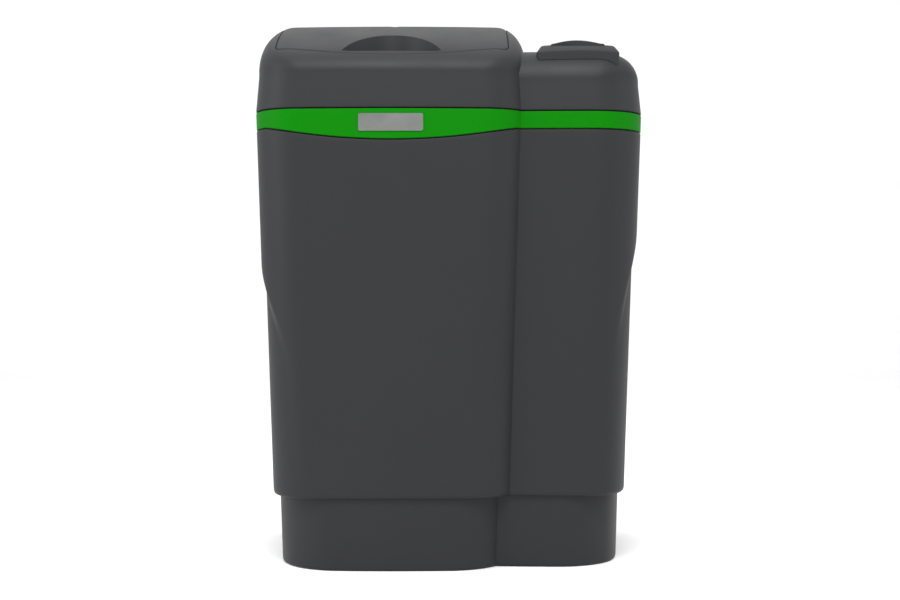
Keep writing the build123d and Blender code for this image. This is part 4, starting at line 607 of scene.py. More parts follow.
def makeCabinetShell():
    store = newStore()
    reference = twinOutline(700.0, 0.0)
    rim = lensEdge(reference[:, 0], reference[:, 1], cabinet["gap"])
    edge = cabinet["plinth"]
    footEdge = ((0.0, 4.2), (0.25, 2.9), (1.0, 1.75), (2.3, 0.8), (4.2, 0.2), (7.0, 0.0))
    rings = [bodyRing(z, extra, True) for z, extra in footEdge]
    rings += [bodyRing(z, 0.0, True) for z in (15.0, 35.0, 60.0, 90.0, edge - 6, edge - 1, edge)]
    ledge = ((0.0, 4.4), (0.5, 3.0), (1.8, 1.6), (4.2, 0.55), (7.0, 0.1), (9.0, 0.0))
    rings += [bodyRing(edge + rise, extra) for rise, extra in ledge]
    straight, wall = 640.0, cabinet["wall"]  # above the straight height the rows bend to the rim's lens
    for z in np.concatenate([np.arange(133, 300, 8.0), np.arange(300, straight, 4.2)]):
        rings.append(bodyRing(z, 0.0))
    rimEdge = ((1.4, 0.0), (0.75, 0.12), (0.3, 0.42), (0.05, 0.9), (0.0, 1.4), (0.0, wall))
    for share in np.linspace(0, 1, 9)[1:-1]:
        rings.append(bodyRing(straight + (rim - rimEdge[0][0] - straight) * share, 0.0))
    rings += [bodyRing(rim - drop, extra) for drop, extra in rimEdge]
    rings += [bodyRing(rim + (600.0 - rim) * share, wall) for share in np.linspace(0, 1, 5)[1:]]
    inside = np.concatenate([np.arange(580, 290, -12.0), np.arange(280, 138, -25.0), [edge + 6]])
    rings += [bodyRing(z, wall) for z in inside]
    rings += [bodyRing(z, wall, True) for z in (edge + 4, 60.0)]
    rings += [bodyRing(wall + z, wall + extra, True) for z, extra in footEdge[::-1]]
    addGrid(store, rings)
    addCap(store, rings[0], flip=True)
    addCap(store, rings[-1])

    x0, x1, z0, z1, radius = cabinet["window"]

    def inWindow(points):
        dx = np.abs(points[:, 0] - (x0 + x1) / 2) - (x1 - x0) / 2 + radius
        dz = np.abs(points[:, 2] - (z0 + z1) / 2) - (z1 - z0) / 2 + radius
        d = np.hypot(np.maximum(dx, 0), np.maximum(dz, 0)) + np.minimum(np.maximum(dx, dz), 0) - radius
        return np.where(points[:, 1] > cabinet["rear"] - 3 * wall, -d, -1.0)

    clipStore(store, inWindow)
    corner = unitCircle(96)
    frameLine = corner * radius + np.sign(np.round(corner, 9)) * np.array(
        [(x1 - x0) / 2 - radius, (z1 - z0) / 2 - radius])
    frameLine += np.array([(x0 + x1) / 2, (z0 + z1) / 2])
    rear = cabinet["rear"]
    bead = ((0.0, 0.0), (0.6, 0.3), (0.8, 0.9), (0.6, 1.5), (0.0, 1.8))
    addGrid(store, [np.insert(frameLine, 1, y, axis=1) for y in (rear - wall, rear)])
    addGrid(store, [np.insert(frameLine + corner * grow, 1, rear + proud, axis=1) for proud, grow in bead])

    # wall between the two spaces, from the floor to its rounded top edge
    x0, x1, top = cabinet["partitionX"], cabinet["partitionX"] + wall, cabinet["partitionTop"]
    profile = [(x0, z) for z in (2.0, 7.1, edge - 0.1, edge + 0.1, 240.0, 400.0, 550.0, top - 1.2)]
    profile += [(x0 + 0.4, top - 0.3), (x0 + 1.2, top), (x1 - 1.2, top), (x1 - 0.4, top - 0.3)]
    profile += [(x1, z) for z in (top - 1.2, 550.0, 400.0, 240.0, edge + 0.1, edge - 0.1, 7.1, 2.0)]
    rows = []
    for share in np.linspace(0, 1, 10):
        row = []
        for x, z in profile:
            low = z < edge
            inset = wall / 2 + (cabinet["plinthInset"] if low else 0.0) + (footEdge[0][1] if z < 7.0 else 0.0)
            p = saltPlan((cabinet["bandTop"] - z) * cabinet["slope"] + inset, inset,
                         cabinet["plinthCorners"] if low else 0.0)
            cx, cy, radius, bowY = frontCorner(p, 1)
            front = bowY - math.sqrt(p["bow"] ** 2 - (x - p["middle"]) ** 2)
            if x > cx:
                front = cy - math.sqrt(radius ** 2 - (x - cx) ** 2)
            row.append((x, front + (p["rear"] - front) * share, z))
        rows.append(row)
    addGrid(store, rows, open=True)
    return makePiece("cabinetShell", store, finish["shell"], "cabinet")


cabinetShell = makeCabinetShell()
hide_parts("cabinet_body")
print("cabinet shell", len(cabinetShell.data.polygons), "faces")


# trim band: outer ring with the lens and a tongue behind the joints
softEdge = ((0.0, 1.2), (0.1, 0.7), (0.4, 0.3), (1.0, 0.05), (1.6, 0.0))  # rise and inset of a rounded edge
edgeRise = softEdge[-1][0]


def bandRow(z, extra):
    return atHeight(slopingRow(z, extra), z)


def makeTrimBand():
    store = newStore()
    reference = twinOutline(726.0, 0.0)
    low = lensEdge(reference[:, 0], reference[:, 1], 0.0)
    top = np.full(len(low), cabinet["bandTop"])
    rounded = ((0.0, 6.9), *softEdge)
    rings = [bandRow(low + rise, inset) for rise, inset in rounded]
    for share in np.linspace(0, 1, 8)[1:-1]:
        rings.append(bandRow(low + edgeRise + (top - low - 2 * edgeRise) * share, 0.0))
    rings += [bandRow(top - rise, inset) for rise, inset in rounded[::-1]]
    addGrid(store, rings, wrapRings=True)
    bottom, rise = cabinet["bandBottom"] - lens["drop"] - 12.0, coverBottom + 12.0
    tongue = ((bottom, 4.4), (coverBottom, 4.4), (rise, 6.4), (rise, 9.0), (coverBottom, 7.0), (bottom, 7.0))
    # the tongue's faces take the near-black finish, which is painted shade for the dark gaps round the band
    greenFaces = len(store["faces"])
    addGrid(store, [bandRow(np.full(len(low), z), extra) for z, extra in tongue], wrapRings=True)
    return makePiece("trimBand", store, finish["green"], "cabinet", second=(greenFaces, finish["tongue"]))


trimBand = makeTrimBand()
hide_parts("trim_band")
print("trim band", len(trimBand.data.polygons), "faces")


# lid outline and top cover
lid = {"halfWidth": 190.5, "front": -185.0, "rear": 140.0, "bow": 680.0, "corner": 16.0, "wall": 3.5,
       "gap": 1.4, "ledge": 6.0, "edge": 1.3, "rim": 1.5, "foot": 4.0, "centreY": -30.0, "pocketFloor": 844.0,
       "pocketCentre": -311.0, "pocketHalf": 153.0, "pocketDepth": 400.0, "stations": (-225.0, 35.0),
       "barrelHalf": 20.0, "barrel": 4.5, "lug": 10.0, "slit": 1.0, "hingeY": 147.0, "hingeZ": 909.0,
       "bay": 7.0, "seat": 0.4, "ledgeThick": 3.1, "tabReach": 4.0, "tabDrop": 3.0, "tabTop": 0.1, "tabEnd": 0.4}
edgeShares = (0.0, 0.06, 0.3, 0.62, 1.0)


def rolledDrop(share):  # how far a rounded edge falls at a share of its width
    return lid["edge"] * (1 - math.sqrt(1 - (1 - share) ** 2))


def lidPlan(grow):
    middle = cabinet["saltMiddle"]
    corner = lid["corner"] + grow
    return plan(middle - lid["halfWidth"] - grow, middle + lid["halfWidth"] + grow, lid["front"] - grow,
                lid["rear"] + grow, middle, corner, corner, corner, corner, bow=lid["bow"])


def hingeBays(xy, grow):  # steps the rear edge back round the hinge barrels
    xy = xy.copy()
    rearMost = xy[:, 1] > lid["rear"] + grow - 0.01
    for station in lid["stations"]:
        near = rearMost & (np.abs(xy[:, 0] - station) < lid["barrelHalf"] + lid["slit"] - min(grow, 0.0))
        xy[near, 1] = lid["hingeY"] + lid["bay"] + (grow - lid["gap"])
    return xy


def alongCrown(which, inner, outer, count, depth=0.0):  # rings at even steps of the way over the crown
    share = np.linspace(0, 1, 160) ** 0.6
    lines = inner[:, None] * (1 - share[None, :, None]) + outer[:, None] * share[None, :, None]
    z = crownHeight(which, lines[..., 0].ravel(), lines[..., 1].ravel(), depth).reshape(lines.shape[:2])
    z[:, -1] = crownStart(which)
    full = np.concatenate([lines, z[..., None]], 2)
    steps = np.cumsum(np.linalg.norm(np.diff(full, axis=1), axis=2), 1)
    length = np.concatenate([np.zeros((len(full), 1)), steps], 1)
    return [np.array([[np.interp(target * length[i, -1], length[i], full[i, :, k]) for k in range(3)]
                      for i in range(len(full))]) for target in np.linspace(0, 1, count)]


def lift(which, xy, drop=0.0, depth=0.0):
    return atHeight(xy, crownHeight(which, xy[:, 0], xy[:, 1], depth) - drop)


def wallRings(which, depth, heights):
    rings = []
    base = crownPlan(which, np.float64(0.0), depth)
    for z, extra in heights:
        lean = wallLean(which, z)
        p = dict(base)
        if which == "salt":
            p["left"] = base["left"] - lean + extra
        p["right"] = base["right"] + lean - extra
        p["front"] = base["front"] - lean + extra
        p["rear"] = base["rear"] - extra
        rings.append(atHeight(outline(p), z))
    return rings


def outerWall(which, count):  # from the rounded lower edge up to the crown
    heights = [(coverBottom, cabinet["wall"])] + [(coverBottom + rise, inset) for rise, inset in softEdge]
    heights += [(z, 0.0) for z in np.linspace(coverBottom + edgeRise, crownStart(which), count)[1:-1]]
    return wallRings(which, 0.0, heights)


def innerWall(which):
    heights = np.linspace(crownStart(which), coverBottom, 4)[1:-1]
    return wallRings(which, cabinet["wall"], [(z, 0.0) for z in heights])


def crownFoot(which, depth=0.0):
    return outline(crownPlan(which, np.float64(0.0), depth))


def hidden(which, points):  # above zero where the other lobe covers a point by more than 2 mm
    x, y, z = points.T
    return np.minimum(-levelDistance(which, x, y, z), crownHeight(which, x, y) - z) - 2.0


def makeSaltCover():
    store = newStore()
    rings = outerWall("salt", 9)
    hole = hingeBays(outline(lidPlan(lid["gap"])), lid["gap"])
    roll = hingeBays(outline(lidPlan(lid["gap"] + lid["edge"])), lid["gap"] + lid["edge"])
    rings += alongCrown("salt", roll, crownFoot("salt"), 34)[::-1]
    for share in (0.62, 0.3, 0.08, 0.0):
        rings.append(lift("salt", hole + (roll - hole) * share, rolledDrop(share)))
    drop = lid["wall"] + lid["seat"]
    under = drop + lid["ledgeThick"]
    inner = hingeBays(outline(lidPlan(-lid["ledge"])), -lid["ledge"])
    padEdge = outline(lidPlan(lid["ledge"]))
    for xy, fall in ((hole, drop), (inner, drop), (inner, under), (padEdge, under)):
        rings.append(lift("salt", xy, fall))
    rings += alongCrown("salt", padEdge, crownFoot("salt", cabinet["wall"]), 16, cabinet["wall"])
    addGrid(store, rings + innerWall("salt"), wrapRings=True)
    clipStore(store, lambda points: hidden("tank", points))
    return store


capSize = {"centre": 210.5, "width": 136.0, "front": -151.0, "rear": 70.0, "corner": 7.0, "top": 859.0,
           "crown": 4.0, "hingeY": 75.0, "hingeZ": 858.5, "wall": 3.0, "seat": 0.7, "edge": 13.0, "roll": 17.0,
           "sideShare": 0.62, "ledge": 10.0, "collar": 2.5, "collarRise": 1.6, "collarFront": -118.5,
           "barrelHalf": 25.0, "barrel": 3.5, "lug": 7.5, "slit": 0.5, "lip": 0.3, "spineY": -20.0,
           "tabReach": 4.0, "tabDrop": 2.3, "tabRise": 2.5, "tabEnd": 0.4}


def boxOutline(x0, x1, y0, y1, radius, counts=lobeCounts):  # a bow of 90 m is as good as straight
    middle = (x0 + x1) / 2
    return outline(plan(x0, x1, y0, y1, middle, radius, radius, radius, radius, bow=90000.0), counts)


def capHole(inset, front):
    c = capSize
    half = c["width"] / 2 - inset
    return boxOutline(c["centre"] - half, c["centre"] + half, front, c["rear"] - inset, c["corner"] - inset / 2)


def makeTankCover():
    store = newStore()
    collarOut = capHole(capSize["ledge"] - capSize["collar"], capSize["collarFront"])
    hole = capHole(capSize["ledge"], capSize["collarFront"] + capSize["collar"])
    rings = outerWall("tank", 8) + alongCrown("tank", collarOut, crownFoot("tank"), 30)[::-1]
    top = crown["tank"]["top"] + capSize["collarRise"]
    for share, z in ((0.0, top - 0.4), (0.16, top), (0.84, top), (1.0, top - 0.4),
                     (1.0, crown["tank"]["top"] - cabinet["wall"])):
        rings.append(atHeight(collarOut + (hole - collarOut) * share, z))
    rings += alongCrown("tank", hole, crownFoot("tank", cabinet["wall"]), 14, cabinet["wall"])[1:]
    addGrid(store, rings + innerWall("tank"), wrapRings=True)

    def insideSalt(points):  # the salt lobe's own rear wall carries on to where its corner starts
        cornerStart = cabinet["divide"] - crown["lean"] + wallLean("salt", points[:, 2]) - cabinet["rearCorner"]
        return np.maximum(hidden("salt", points), cornerStart - points[:, 0])

    clipStore(store, insideSalt)
    return store


def addTube(store, x0, x1, y, z, radius, around=32, lip=0.4):
    rings = []
    for x, r in ((x0, 0.01), (x0, radius - lip), (x0 + lip * 0.3, radius - lip * 0.3), (x0 + lip, radius),
                 (x1 - lip, radius), (x1 - lip * 0.3, radius - lip * 0.3), (x1, radius - lip), (x1, 0.01)):
        rings.append(np.insert(np.array([y, z]) + r * unitCircle(around), 0, x, axis=1))
    addGrid(store, rings)


def addBlock(store, x0, x1, y0, y1, z0, z1):
    base = len(store["points"])
    store["points"].extend([[x, y, z] for z in (z0, z1) for y in (y0, y1) for x in (x0, x1)])
    for face in ((0, 2, 3, 1), (4, 5, 7, 6), (0, 1, 5, 4), (2, 6, 7, 3), (0, 4, 6, 2), (1, 3, 7, 5)):
        store["faces"].append(tuple(base + i for i in face))


def hingeLug(store, size, station, side):  # a barrel of the cover beside the moving one
    inner = station + side * (size["barrelHalf"] + size["slit"])
    low, high = sorted((inner, inner + side * size["lug"]))
    addTube(store, low, high, size["hingeY"], size["hingeZ"], size["barrel"], lip=size.get("lip", 0.4))
    return low, high


coverStore = makeSaltCover()
joinStore(coverStore, makeTankCover())
for side in (-1, 1):
    for station in lid["stations"]:
        hingeLug(coverStore, lid, station, side)
    low, high = hingeLug(coverStore, capSize, capSize["centre"], side)
    reach = capSize["barrel"]
    addBlock(coverStore, low + capSize["lip"], high - capSize["lip"], capSize["hingeY"] - reach,
             capSize["hingeY"] + reach, crown["tank"]["top"] - 1.0, capSize["hingeZ"])
topCover = makePiece("topCover", coverStore, finish["shell"], "cabinet")
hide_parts("top_cover")
print("top cover", len(topCover.data.polygons), "faces")


# fill lid with its finger pocket
def radialRings(xy, centre, shares):
    return [centre + (xy - centre) * share for share in shares]


def pocketValue(x, y, grow=0.0):
    ellipseY = cabinet["front"] + lid["pocketCentre"]
    a, b = lid["pocketHalf"] + grow, lid["pocketDepth"] + grow
    dx, dy = x - cabinet["saltMiddle"], y - ellipseY
    e = np.sqrt((dx / a) ** 2 + (dy / b) ** 2) + 1e-9
    return (e - 1) / (np.sqrt((dx / a ** 2) ** 2 + (dy / b ** 2) ** 2) / e + 1e-9)


def frontLine(x, level, depth=0.0):  # where the crown's front slope passes a level
    near, far = np.full_like(x, cabinet["front"] + 5.0), np.full_like(x, cabinet["front"] + 130.0)
    return bisect(near, far, lambda y: crownHeight("salt", x, y, depth) < level, 40)


def makeFillLid():
    edge = outline(lidPlan(0.0))
    middle, ellipseY = cabinet["saltMiddle"], cabinet["front"] + lid["pocketCentre"]
    centre = np.array([middle, lid["centreY"]])
    floor, underside = lid["pocketFloor"], lid["pocketFloor"] - lid["wall"]

    def surface(rings, grow, level, flip=False):  # a skin with the pocket's ellipse cut out above a level
        skin = newStore()
        addGrid(skin, rings, flip=flip)
        addCap(skin, rings[-1], flip=flip)
        clipStore(skin, lambda points: np.minimum(-pocketValue(*points.T[:2], grow), points.T[2] - level))
        return skin

    rings = [lift("salt", outline(lidPlan(-lid["edge"] * share)), rolledDrop(share)) for share in edgeShares]
    inner = outline(lidPlan(-lid["edge"]))
    shares = np.concatenate([[0.992, 0.98, 0.965], np.linspace(0.95, 0.04, 46)])
    rings += [lift("salt", xy) for xy in radialRings(inner, centre, shares)]
    top = surface(rings, lid["rim"], floor)
    rings = [lift("salt", edge, lid["wall"])]
    for xy in radialRings(edge, centre, np.linspace(0.97, 0.04, 26)):
        rings.append(lift("salt", xy, 0.0, lid["wall"]))
    under = surface(rings, lid["wall"], underside, flip=True)
    wall = newStore()
    addGrid(wall, [lift("salt", edge, lid["wall"]), lift("salt", edge, lid["edge"])])

    # pocket: rolled rim, wall, rounded foot and level floor
    start = 0.0
    for angle in np.linspace(0.1, 1.1, 400):
        x, y = middle + lid["pocketHalf"] * math.cos(angle), ellipseY + lid["pocketDepth"] * math.sin(angle)
        if crownHeight("salt", np.array([x]), np.array([y]))[0] > floor + 0.02:
            start = angle
            break
    turn = np.linspace(start, math.pi - start, 120)
    unit = np.stack([np.cos(turn), np.sin(turn)], 1)
    half = np.array([lid["pocketHalf"], lid["pocketDepth"]])
    outwards = unit / half
    outwards /= np.linalg.norm(outwards, axis=1)[:, None]

    def ellipse(grow):
        return np.array([middle, ellipseY]) + (half + grow) * unit

    rim = lid["rim"]
    crest = np.maximum(crownHeight("salt", *ellipse(rim).T), floor)
    wallFoot = np.minimum(np.maximum(crest - rim, floor) - floor, lid["foot"])
    leans = np.linspace(0, math.pi / 2, 5)
    rows = [atHeight(ellipse(rim * (1 - math.sin(lean))), np.maximum(crest - rim * (1 - math.cos(lean)), floor))
            for lean in leans]
    rows += [atHeight(ellipse(0.0) - outwards * (wallFoot * (1 - math.cos(lean)))[:, None],
                      floor + wallFoot * (1 - math.sin(lean))) for lean in leans]
    addGrid(wall, rows, open=True, flip=True)

    def level(line, z, shares, depth=0.0):  # rows at one height from a line to the lid's front slope
        x, back = line.T
        front = np.minimum(frontLine(x, z, depth), back)
        return [atHeight(np.stack([x, back + (front - back) * share], 1), z) for share in shares]

    addGrid(wall, level(rows[-1][:, :2], floor, np.linspace(0, 1, 5)), open=True, flip=True)
    shell = ellipse(lid["wall"])
    shellTop = np.maximum(crownHeight("salt", *shell.T, lid["wall"]), underside)
    shellRows = level(shell, underside, (0.0, 0.5, 1.0), lid["wall"])
    addGrid(wall, [atHeight(shell, shellTop)] + shellRows, open=True)

    joinStore(top, under, wall)
    for station in lid["stations"]:
        low, high = station - lid["barrelHalf"], station + lid["barrelHalf"]
        addTube(top, low, high, lid["hingeY"], lid["hingeZ"], lid["barrel"])
        addBlock(top, low + lid["tabEnd"], high - lid["tabEnd"], lid["rear"] - lid["tabReach"], lid["hingeY"],
                 lid["hingeZ"] - lid["tabDrop"], crown["salt"]["top"] - lid["tabTop"])
    return makePiece("fillLid", top, finish["shell"], "lid")


fillLid = makeFillLid()
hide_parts("fill_lid")
print("fill lid", len(fillLid.data.polygons), "faces")


# service cap with its arched grip
grip = {"half": 44.0, "archHalf": 50.0, "rise": 13.0, "front": -141.0, "length": 78.0, "proud": 12.4,
        "scoopHalf": 41.0, "scoopDepth": 18.0, "scoopEnd": -110.0, "scoopFloor": 2.0, "sink": 1.0, "fall": 9.0,
        "fallFrom": 0.35, "crest": 2.0}
grip["radius"] = (grip["archHalf"] ** 2 + grip["rise"] ** 2) / (2 * grip["rise"])


# height and inset of the cap's edge: a small round, a long slope, and a roll on to the top
capSlope = ((0.0, 0.0), (0.5, 0.1), (1.1, 0.35), (1.9, 0.85), (3.0, 1.8), (5.0, 3.9), (7.0, 6.1), (9.0, 8.4),
            (10.8, 10.8), (12.0, 13.0), (12.7, 15.2), (13.0, 17.0))
slopeHeights, slopeInsets = np.array(capSlope).T


def capTop(x):  # the cap's top without its grip
    half = capSize["width"] / 2
    radius = (half ** 2 + capSize["crown"] ** 2) / (2 * capSize["crown"])
    return capSize["top"] + capSize["crown"] - radius + np.sqrt(radius ** 2 - (x - capSize["centre"]) ** 2)


def makeServiceCap():
    c = capSize
    store = newStore()
    counts = {"bow": 90, "corner": 14, "side": 70, "rearCorner": 14, "rear": 30}

    def ring(inset, sideShare=1.0):
        half = c["width"] / 2 - inset * sideShare
        radius = max(c["corner"] - inset, 2.0)
        return boxOutline(c["centre"] - half, c["centre"] + half, c["front"] + inset, c["rear"] - inset, radius,
                          counts)

    edge = ring(0.0)
    foot = crownHeight("tank", edge[:, 0], edge[:, 1]) + c["seat"]
    rim = capTop(edge[:, 0])
    low = np.clip(foot - (rim - c["edge"]), 0, c["edge"] - 0.1)
    insetLow = np.interp(low, slopeHeights, slopeInsets)
    inward = ring(1.0) - edge
    inner = edge + inward * (insetLow + c["wall"])[:, None]
    start = edge + inward * insetLow[:, None]
    rings = [atHeight(inner, foot + 0.3), atHeight(start + inward * 0.8, foot)]
    for share in (0.04, 0.25, 0.5, 0.75, 1.0):
        rings.append(atHeight(start, foot + (np.maximum(rim - c["edge"], foot) - foot) * share + 0.02 * share))
    rolled = ring(c["roll"], c["sideShare"])
    for height in slopeHeights[1:]:
        share = height / c["edge"]
        level = low + (c["edge"] - low) * share
        xy = edge + (rolled - edge) * (np.interp(level, slopeHeights, slopeInsets) / c["roll"])[:, None]
        rings.append(atHeight(xy, rim - c["edge"] + level + (capTop(xy[:, 0]) - rim) * share ** 2))
    addGrid(store, rings)
    flat = newStore()
    spine = np.array([c["centre"], c["spineY"]])
    shares = np.concatenate([[1.0, 0.99], np.linspace(0.975, 0.02, 40)])
    topRings = [atHeight(xy, capTop(xy[:, 0])) for xy in radialRings(rings[-1][:, :2], spine, shares)]
    addGrid(flat, topRings)
    addCap(flat, topRings[-1])

    floor = c["top"] - grip["sink"]
    scoopHalf, scoopDepth = grip["scoopHalf"], grip["scoopDepth"]

    def scoopArea(points):
        x, y, z = points.T
        e = np.sqrt(((x - c["centre"]) / scoopHalf) ** 2 + ((y - grip["front"]) / scoopDepth) ** 2)
        return np.minimum((1 - e) * scoopDepth, z - floor)

    def overFront(points):
        x, y = points.T[:2]
        return floor - (capTop(x) - c["edge"] + np.interp(y - c["front"], slopeInsets, slopeHeights))

    clipStore(flat, scoopArea)
    clipStore(store, scoopArea)
    scoop = newStore()
    around = unitCircle(120) * [scoopHalf, scoopDepth]
    place = np.array([c["centre"], grip["front"]])
    lipHeight = np.maximum(-overFront(place + around), 0.0)
    bowl = ((1.0, 1.0), (0.985, 0.55), (0.965, 0.2), (0.93, 0.02), (0.9, 0.0), (0.45, 0.0), (0.02, 0.0))
    addGrid(scoop, [atHeight(place + around * grow, floor + lipHeight * level) for grow, level in bowl])
    clipStore(scoop, overFront)

    # arched grip: a vaulted shell that starts behind the scoop's rear wall
    arch = newStore()
    xs = np.linspace(-grip["half"], grip["half"], 61)
    vault = c["top"] + grip["proud"] - grip["radius"] + np.sqrt(grip["radius"] ** 2 - xs ** 2)
    startY = grip["front"] + np.sqrt(np.maximum(1 - (xs / scoopHalf) ** 2, 0)) * scoopDepth
    strips = [(0.0, floor - 0.5)]
    rounding = ((1.5, 0.0), (0.8, 0.15), (0.3, 0.6), (0.05, 1.3), (0.0, grip["crest"]))
    strips += [(back, vault - drop) for drop, back in rounding]
    for share in np.linspace(0, 1, 24)[1:]:
        back = grip["crest"] + (grip["front"] + grip["length"] - startY - grip["crest"]) * share
        falling = smooth(max(0.0, (share - grip["fallFrom"]) / (1 - grip["fallFrom"])))
        strips.append((back, vault - grip["fall"] * falling))
    rows = [atHeight(np.stack([c["centre"] + xs, startY + back], 1), z) for back, z in strips]
    addGrid(arch, rows, open=True)

    under = newStore()
    underRings = [rings[0], atHeight(inner, np.maximum(rim - c["edge"] - 0.5, foot + 0.3))]
    for xy in radialRings(ring(c["roll"] + 1.0, c["sideShare"]), spine, (1.0, 0.9, 0.6, 0.3, 0.02)):
        z = capTop(xy[:, 0]) - c["wall"]
        z = np.where(xy[:, 1] < grip["scoopEnd"], np.minimum(z, floor - grip["scoopFloor"]), z)
        underRings.append(atHeight(xy, z))
    addGrid(under, underRings, flip=True)
    joinStore(store, flat, scoop, arch, under)
    low, high, hingeZ = c["centre"] - c["barrelHalf"], c["centre"] + c["barrelHalf"], c["hingeZ"]
    addTube(store, low, high, c["hingeY"], hingeZ, c["barrel"], lip=c["lip"])
    addBlock(store, low + c["tabEnd"], high - c["tabEnd"], c["rear"] - c["tabReach"], c["hingeY"],
             hingeZ - c["tabDrop"], hingeZ + c["tabRise"])
    return makePiece("serviceCap", store, finish["shell"], "cap")


serviceCap = makeServiceCap()
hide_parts("service_cap")
print("service cap", len(serviceCap.data.polygons), "faces")


# repeats laid out by node trees: screws in the rear wall, ribs round the union nuts
def vector(tree, **parts):
    return addNode(tree, "ShaderNodeCombineXYZ", {key.upper(): value for key, value in parts.items()})["Vector"]


def moved(tree, geometry, offset):
    return addNode(tree, "GeometryNodeTransform", {"Geometry": geometry, "Translation": offset})["Geometry"]


def blended(tree, operation, inputs):
    return addNode(tree, "GeometryNodeMeshBoolean", inputs, operation=operation, solver="EXACT")["Mesh"]


def spreadOn(tree, points, instance, material, result, **more):
    spread = addNode(tree, "GeometryNodeInstanceOnPoints", {"Points": points, "Instance": instance, **more})
    real = addNode(tree, "GeometryNodeRealizeInstances", {"Geometry": spread["Instances"]})
    dress = addNode(tree, "GeometryNodeSetMaterial", {"Geometry": real["Geometry"], "Material": material})
    tree.links.new(dress["Geometry"], result)


def treePiece(name, tree, points, carried, body, angle=35.0):  # evaluates a tree into a plain mesh
    mesh = bpy.data.meshes.new(name + "Start")
    mesh.from_pydata([[c * mm for c in p] for p in points], [], [])
    source = addObject(name + "Start", mesh)
    modifier = source.modifiers.new(name, "NODES")
    modifier.node_group = tree
    for identifier, value in carried.items():
        modifier[identifier] = value
    evaluated = source.evaluated_get(bpy.context.evaluated_depsgraph_get())
    plain = bpy.data.meshes.new_from_object(evaluated)
    plain.name = name
    source.modifiers.remove(modifier)
    bpy.data.objects.remove(source)
    bm = bmesh.new()
    bm.from_mesh(plain)
    bmesh.ops.remove_doubles(bm, verts=bm.verts, dist=0.002 * mm)
    bmesh.ops.recalc_face_normals(bm, faces=bm.faces)
    bm.to_mesh(plain)
    bm.free()
    return finishPiece(name, plain, body, angle)


screw = {"head": 4.0, "height": 2.4, "edge": 1.3, "slot": 0.9, "reach": 2.3, "depth": 1.2, "shank": 2.0,
         "length": 12.0, "sides": 40, "seed": 7, "places": (-250.0, -60.0, 60.0, 262.0), "offset": 8.5}


def screwTree(material):
    tree, given, result, carried = newTree("rearScrewRows", {
        "Head Radius": screw["head"] * mm, "Head Height": screw["height"] * mm,
        "Edge Round": screw["edge"] * mm, "Slot Width": screw["slot"] * mm, "Slot Reach": screw["reach"] * mm,
        "Slot Depth": screw["depth"] * mm, "Shank Radius": screw["shank"] * mm,
        "Shank Length": screw["length"] * mm, "Seed": screw["seed"]})

    def disc(low, high, lowRadius, highRadius):
        cone = addNode(tree, "GeometryNodeMeshCone", {
            "Vertices": screw["sides"], "Radius Bottom": lowRadius, "Radius Top": highRadius,
            "Depth": calc(tree, "SUBTRACT", high, low)})
        return moved(tree, cone["Mesh"], vector(tree, z=low))

    # head: a straight side and four stages of a rounded crown
    head, height, edge = given["Head Radius"], given["Head Height"], given["Edge Round"]
    shank = given["Shank Radius"]
    stages = [(0.0, 0.0)] + [(math.sin(a), 1 - math.cos(a)) for a in np.linspace(0.3, 1.25, 4)]
    foot = calc(tree, "SUBTRACT", height, edge)
    solids = [disc(0.0, foot, head, head)]
    for ends in zip(stages[:-1], stages[1:]):
        levels = [calc(tree, "MULTIPLY_ADD", edge, up, foot) for up, inset in ends]
        widths = [calc(tree, "SUBTRACT", head, calc(tree, "MULTIPLY", edge, inset)) for up, inset in ends]
        solids.append(disc(*levels, *widths))
    solids.append(disc(calc(tree, "MULTIPLY", given["Shank Length"], -1.0), 0.0, shank, shank))
    bars = []
    double = calc(tree, "MULTIPLY", given["Slot Reach"], 2.0)
    tall = calc(tree, "MULTIPLY", given["Slot Depth"], 2.0)
    for wide, deep in ((double, given["Slot Width"]), (given["Slot Width"], double)):
        bar = addNode(tree, "GeometryNodeMeshCube", {"Size": vector(tree, x=wide, y=deep, z=tall)})
        bars.append(moved(tree, bar["Mesh"], vector(tree, z=height)))
    whole = blended(tree, "UNION", {"Mesh 2": solids})
    slotted = blended(tree, "DIFFERENCE", {"Mesh 1": whole, "Mesh 2": bars})

    # one screw on each point, its head to the rear, turned as it happened to stop
    spin = addNode(tree, "FunctionNodeRandomValue", {"Max": math.pi, "Seed": given["Seed"]})
    turn = vector(tree, x=math.radians(-90), y=spin["Value"])
    spreadOn(tree, given["Geometry"], slotted, material, result, Rotation=turn)
    return tree, carried


rows = (bodyTop - screw["offset"], coverBottom + screw["offset"])
screwPoints = [(x, cabinet["rear"], z) for x in screw["places"] for z in rows]
tree, carried = screwTree(finish["screw"])
rearScrews = treePiece("rearScrews", tree, screwPoints, carried, "cabinet")
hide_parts("rear_screws")
print("rear screws", len(rearScrews.data.polygons), "faces")


nut = {"radius": 23.0, "bore": 17.05, "neck": 13.15, "front": 252.0, "seat": 267.0, "rear": 278.0, "edge": 1.2,
       "bevel": 0.9, "neckBevel": 0.8, "ribs": 12.0, "ribHeight": 1.5, "ribsInside": 2.0, "around": 288,
       "ports": 2, "spacing": 64.0, "place": (136.0, 0.0, 612.0)}


def nutProfile():  # radius, along the pipe
    n = nut
    front, rear, edge, part = n["front"], n["rear"], n["edge"], n["edge"] * 0.3
    return [(n["bore"], front + n["bevel"], 0), (n["bore"] + n["bevel"], front, 0),
            (n["radius"] - edge, front, 0), (n["radius"] - part, front + part, 0),
            (n["radius"], front + edge, 0), (n["radius"], rear - edge, 0),
            (n["radius"] - part, rear - part, 0), (n["radius"] - edge, rear, 0),
            (n["neck"] + n["neckBevel"], rear, 0), (n["neck"], rear - n["neckBevel"], 0),
            (n["neck"], n["seat"], 0), (n["bore"], n["seat"], 0)]


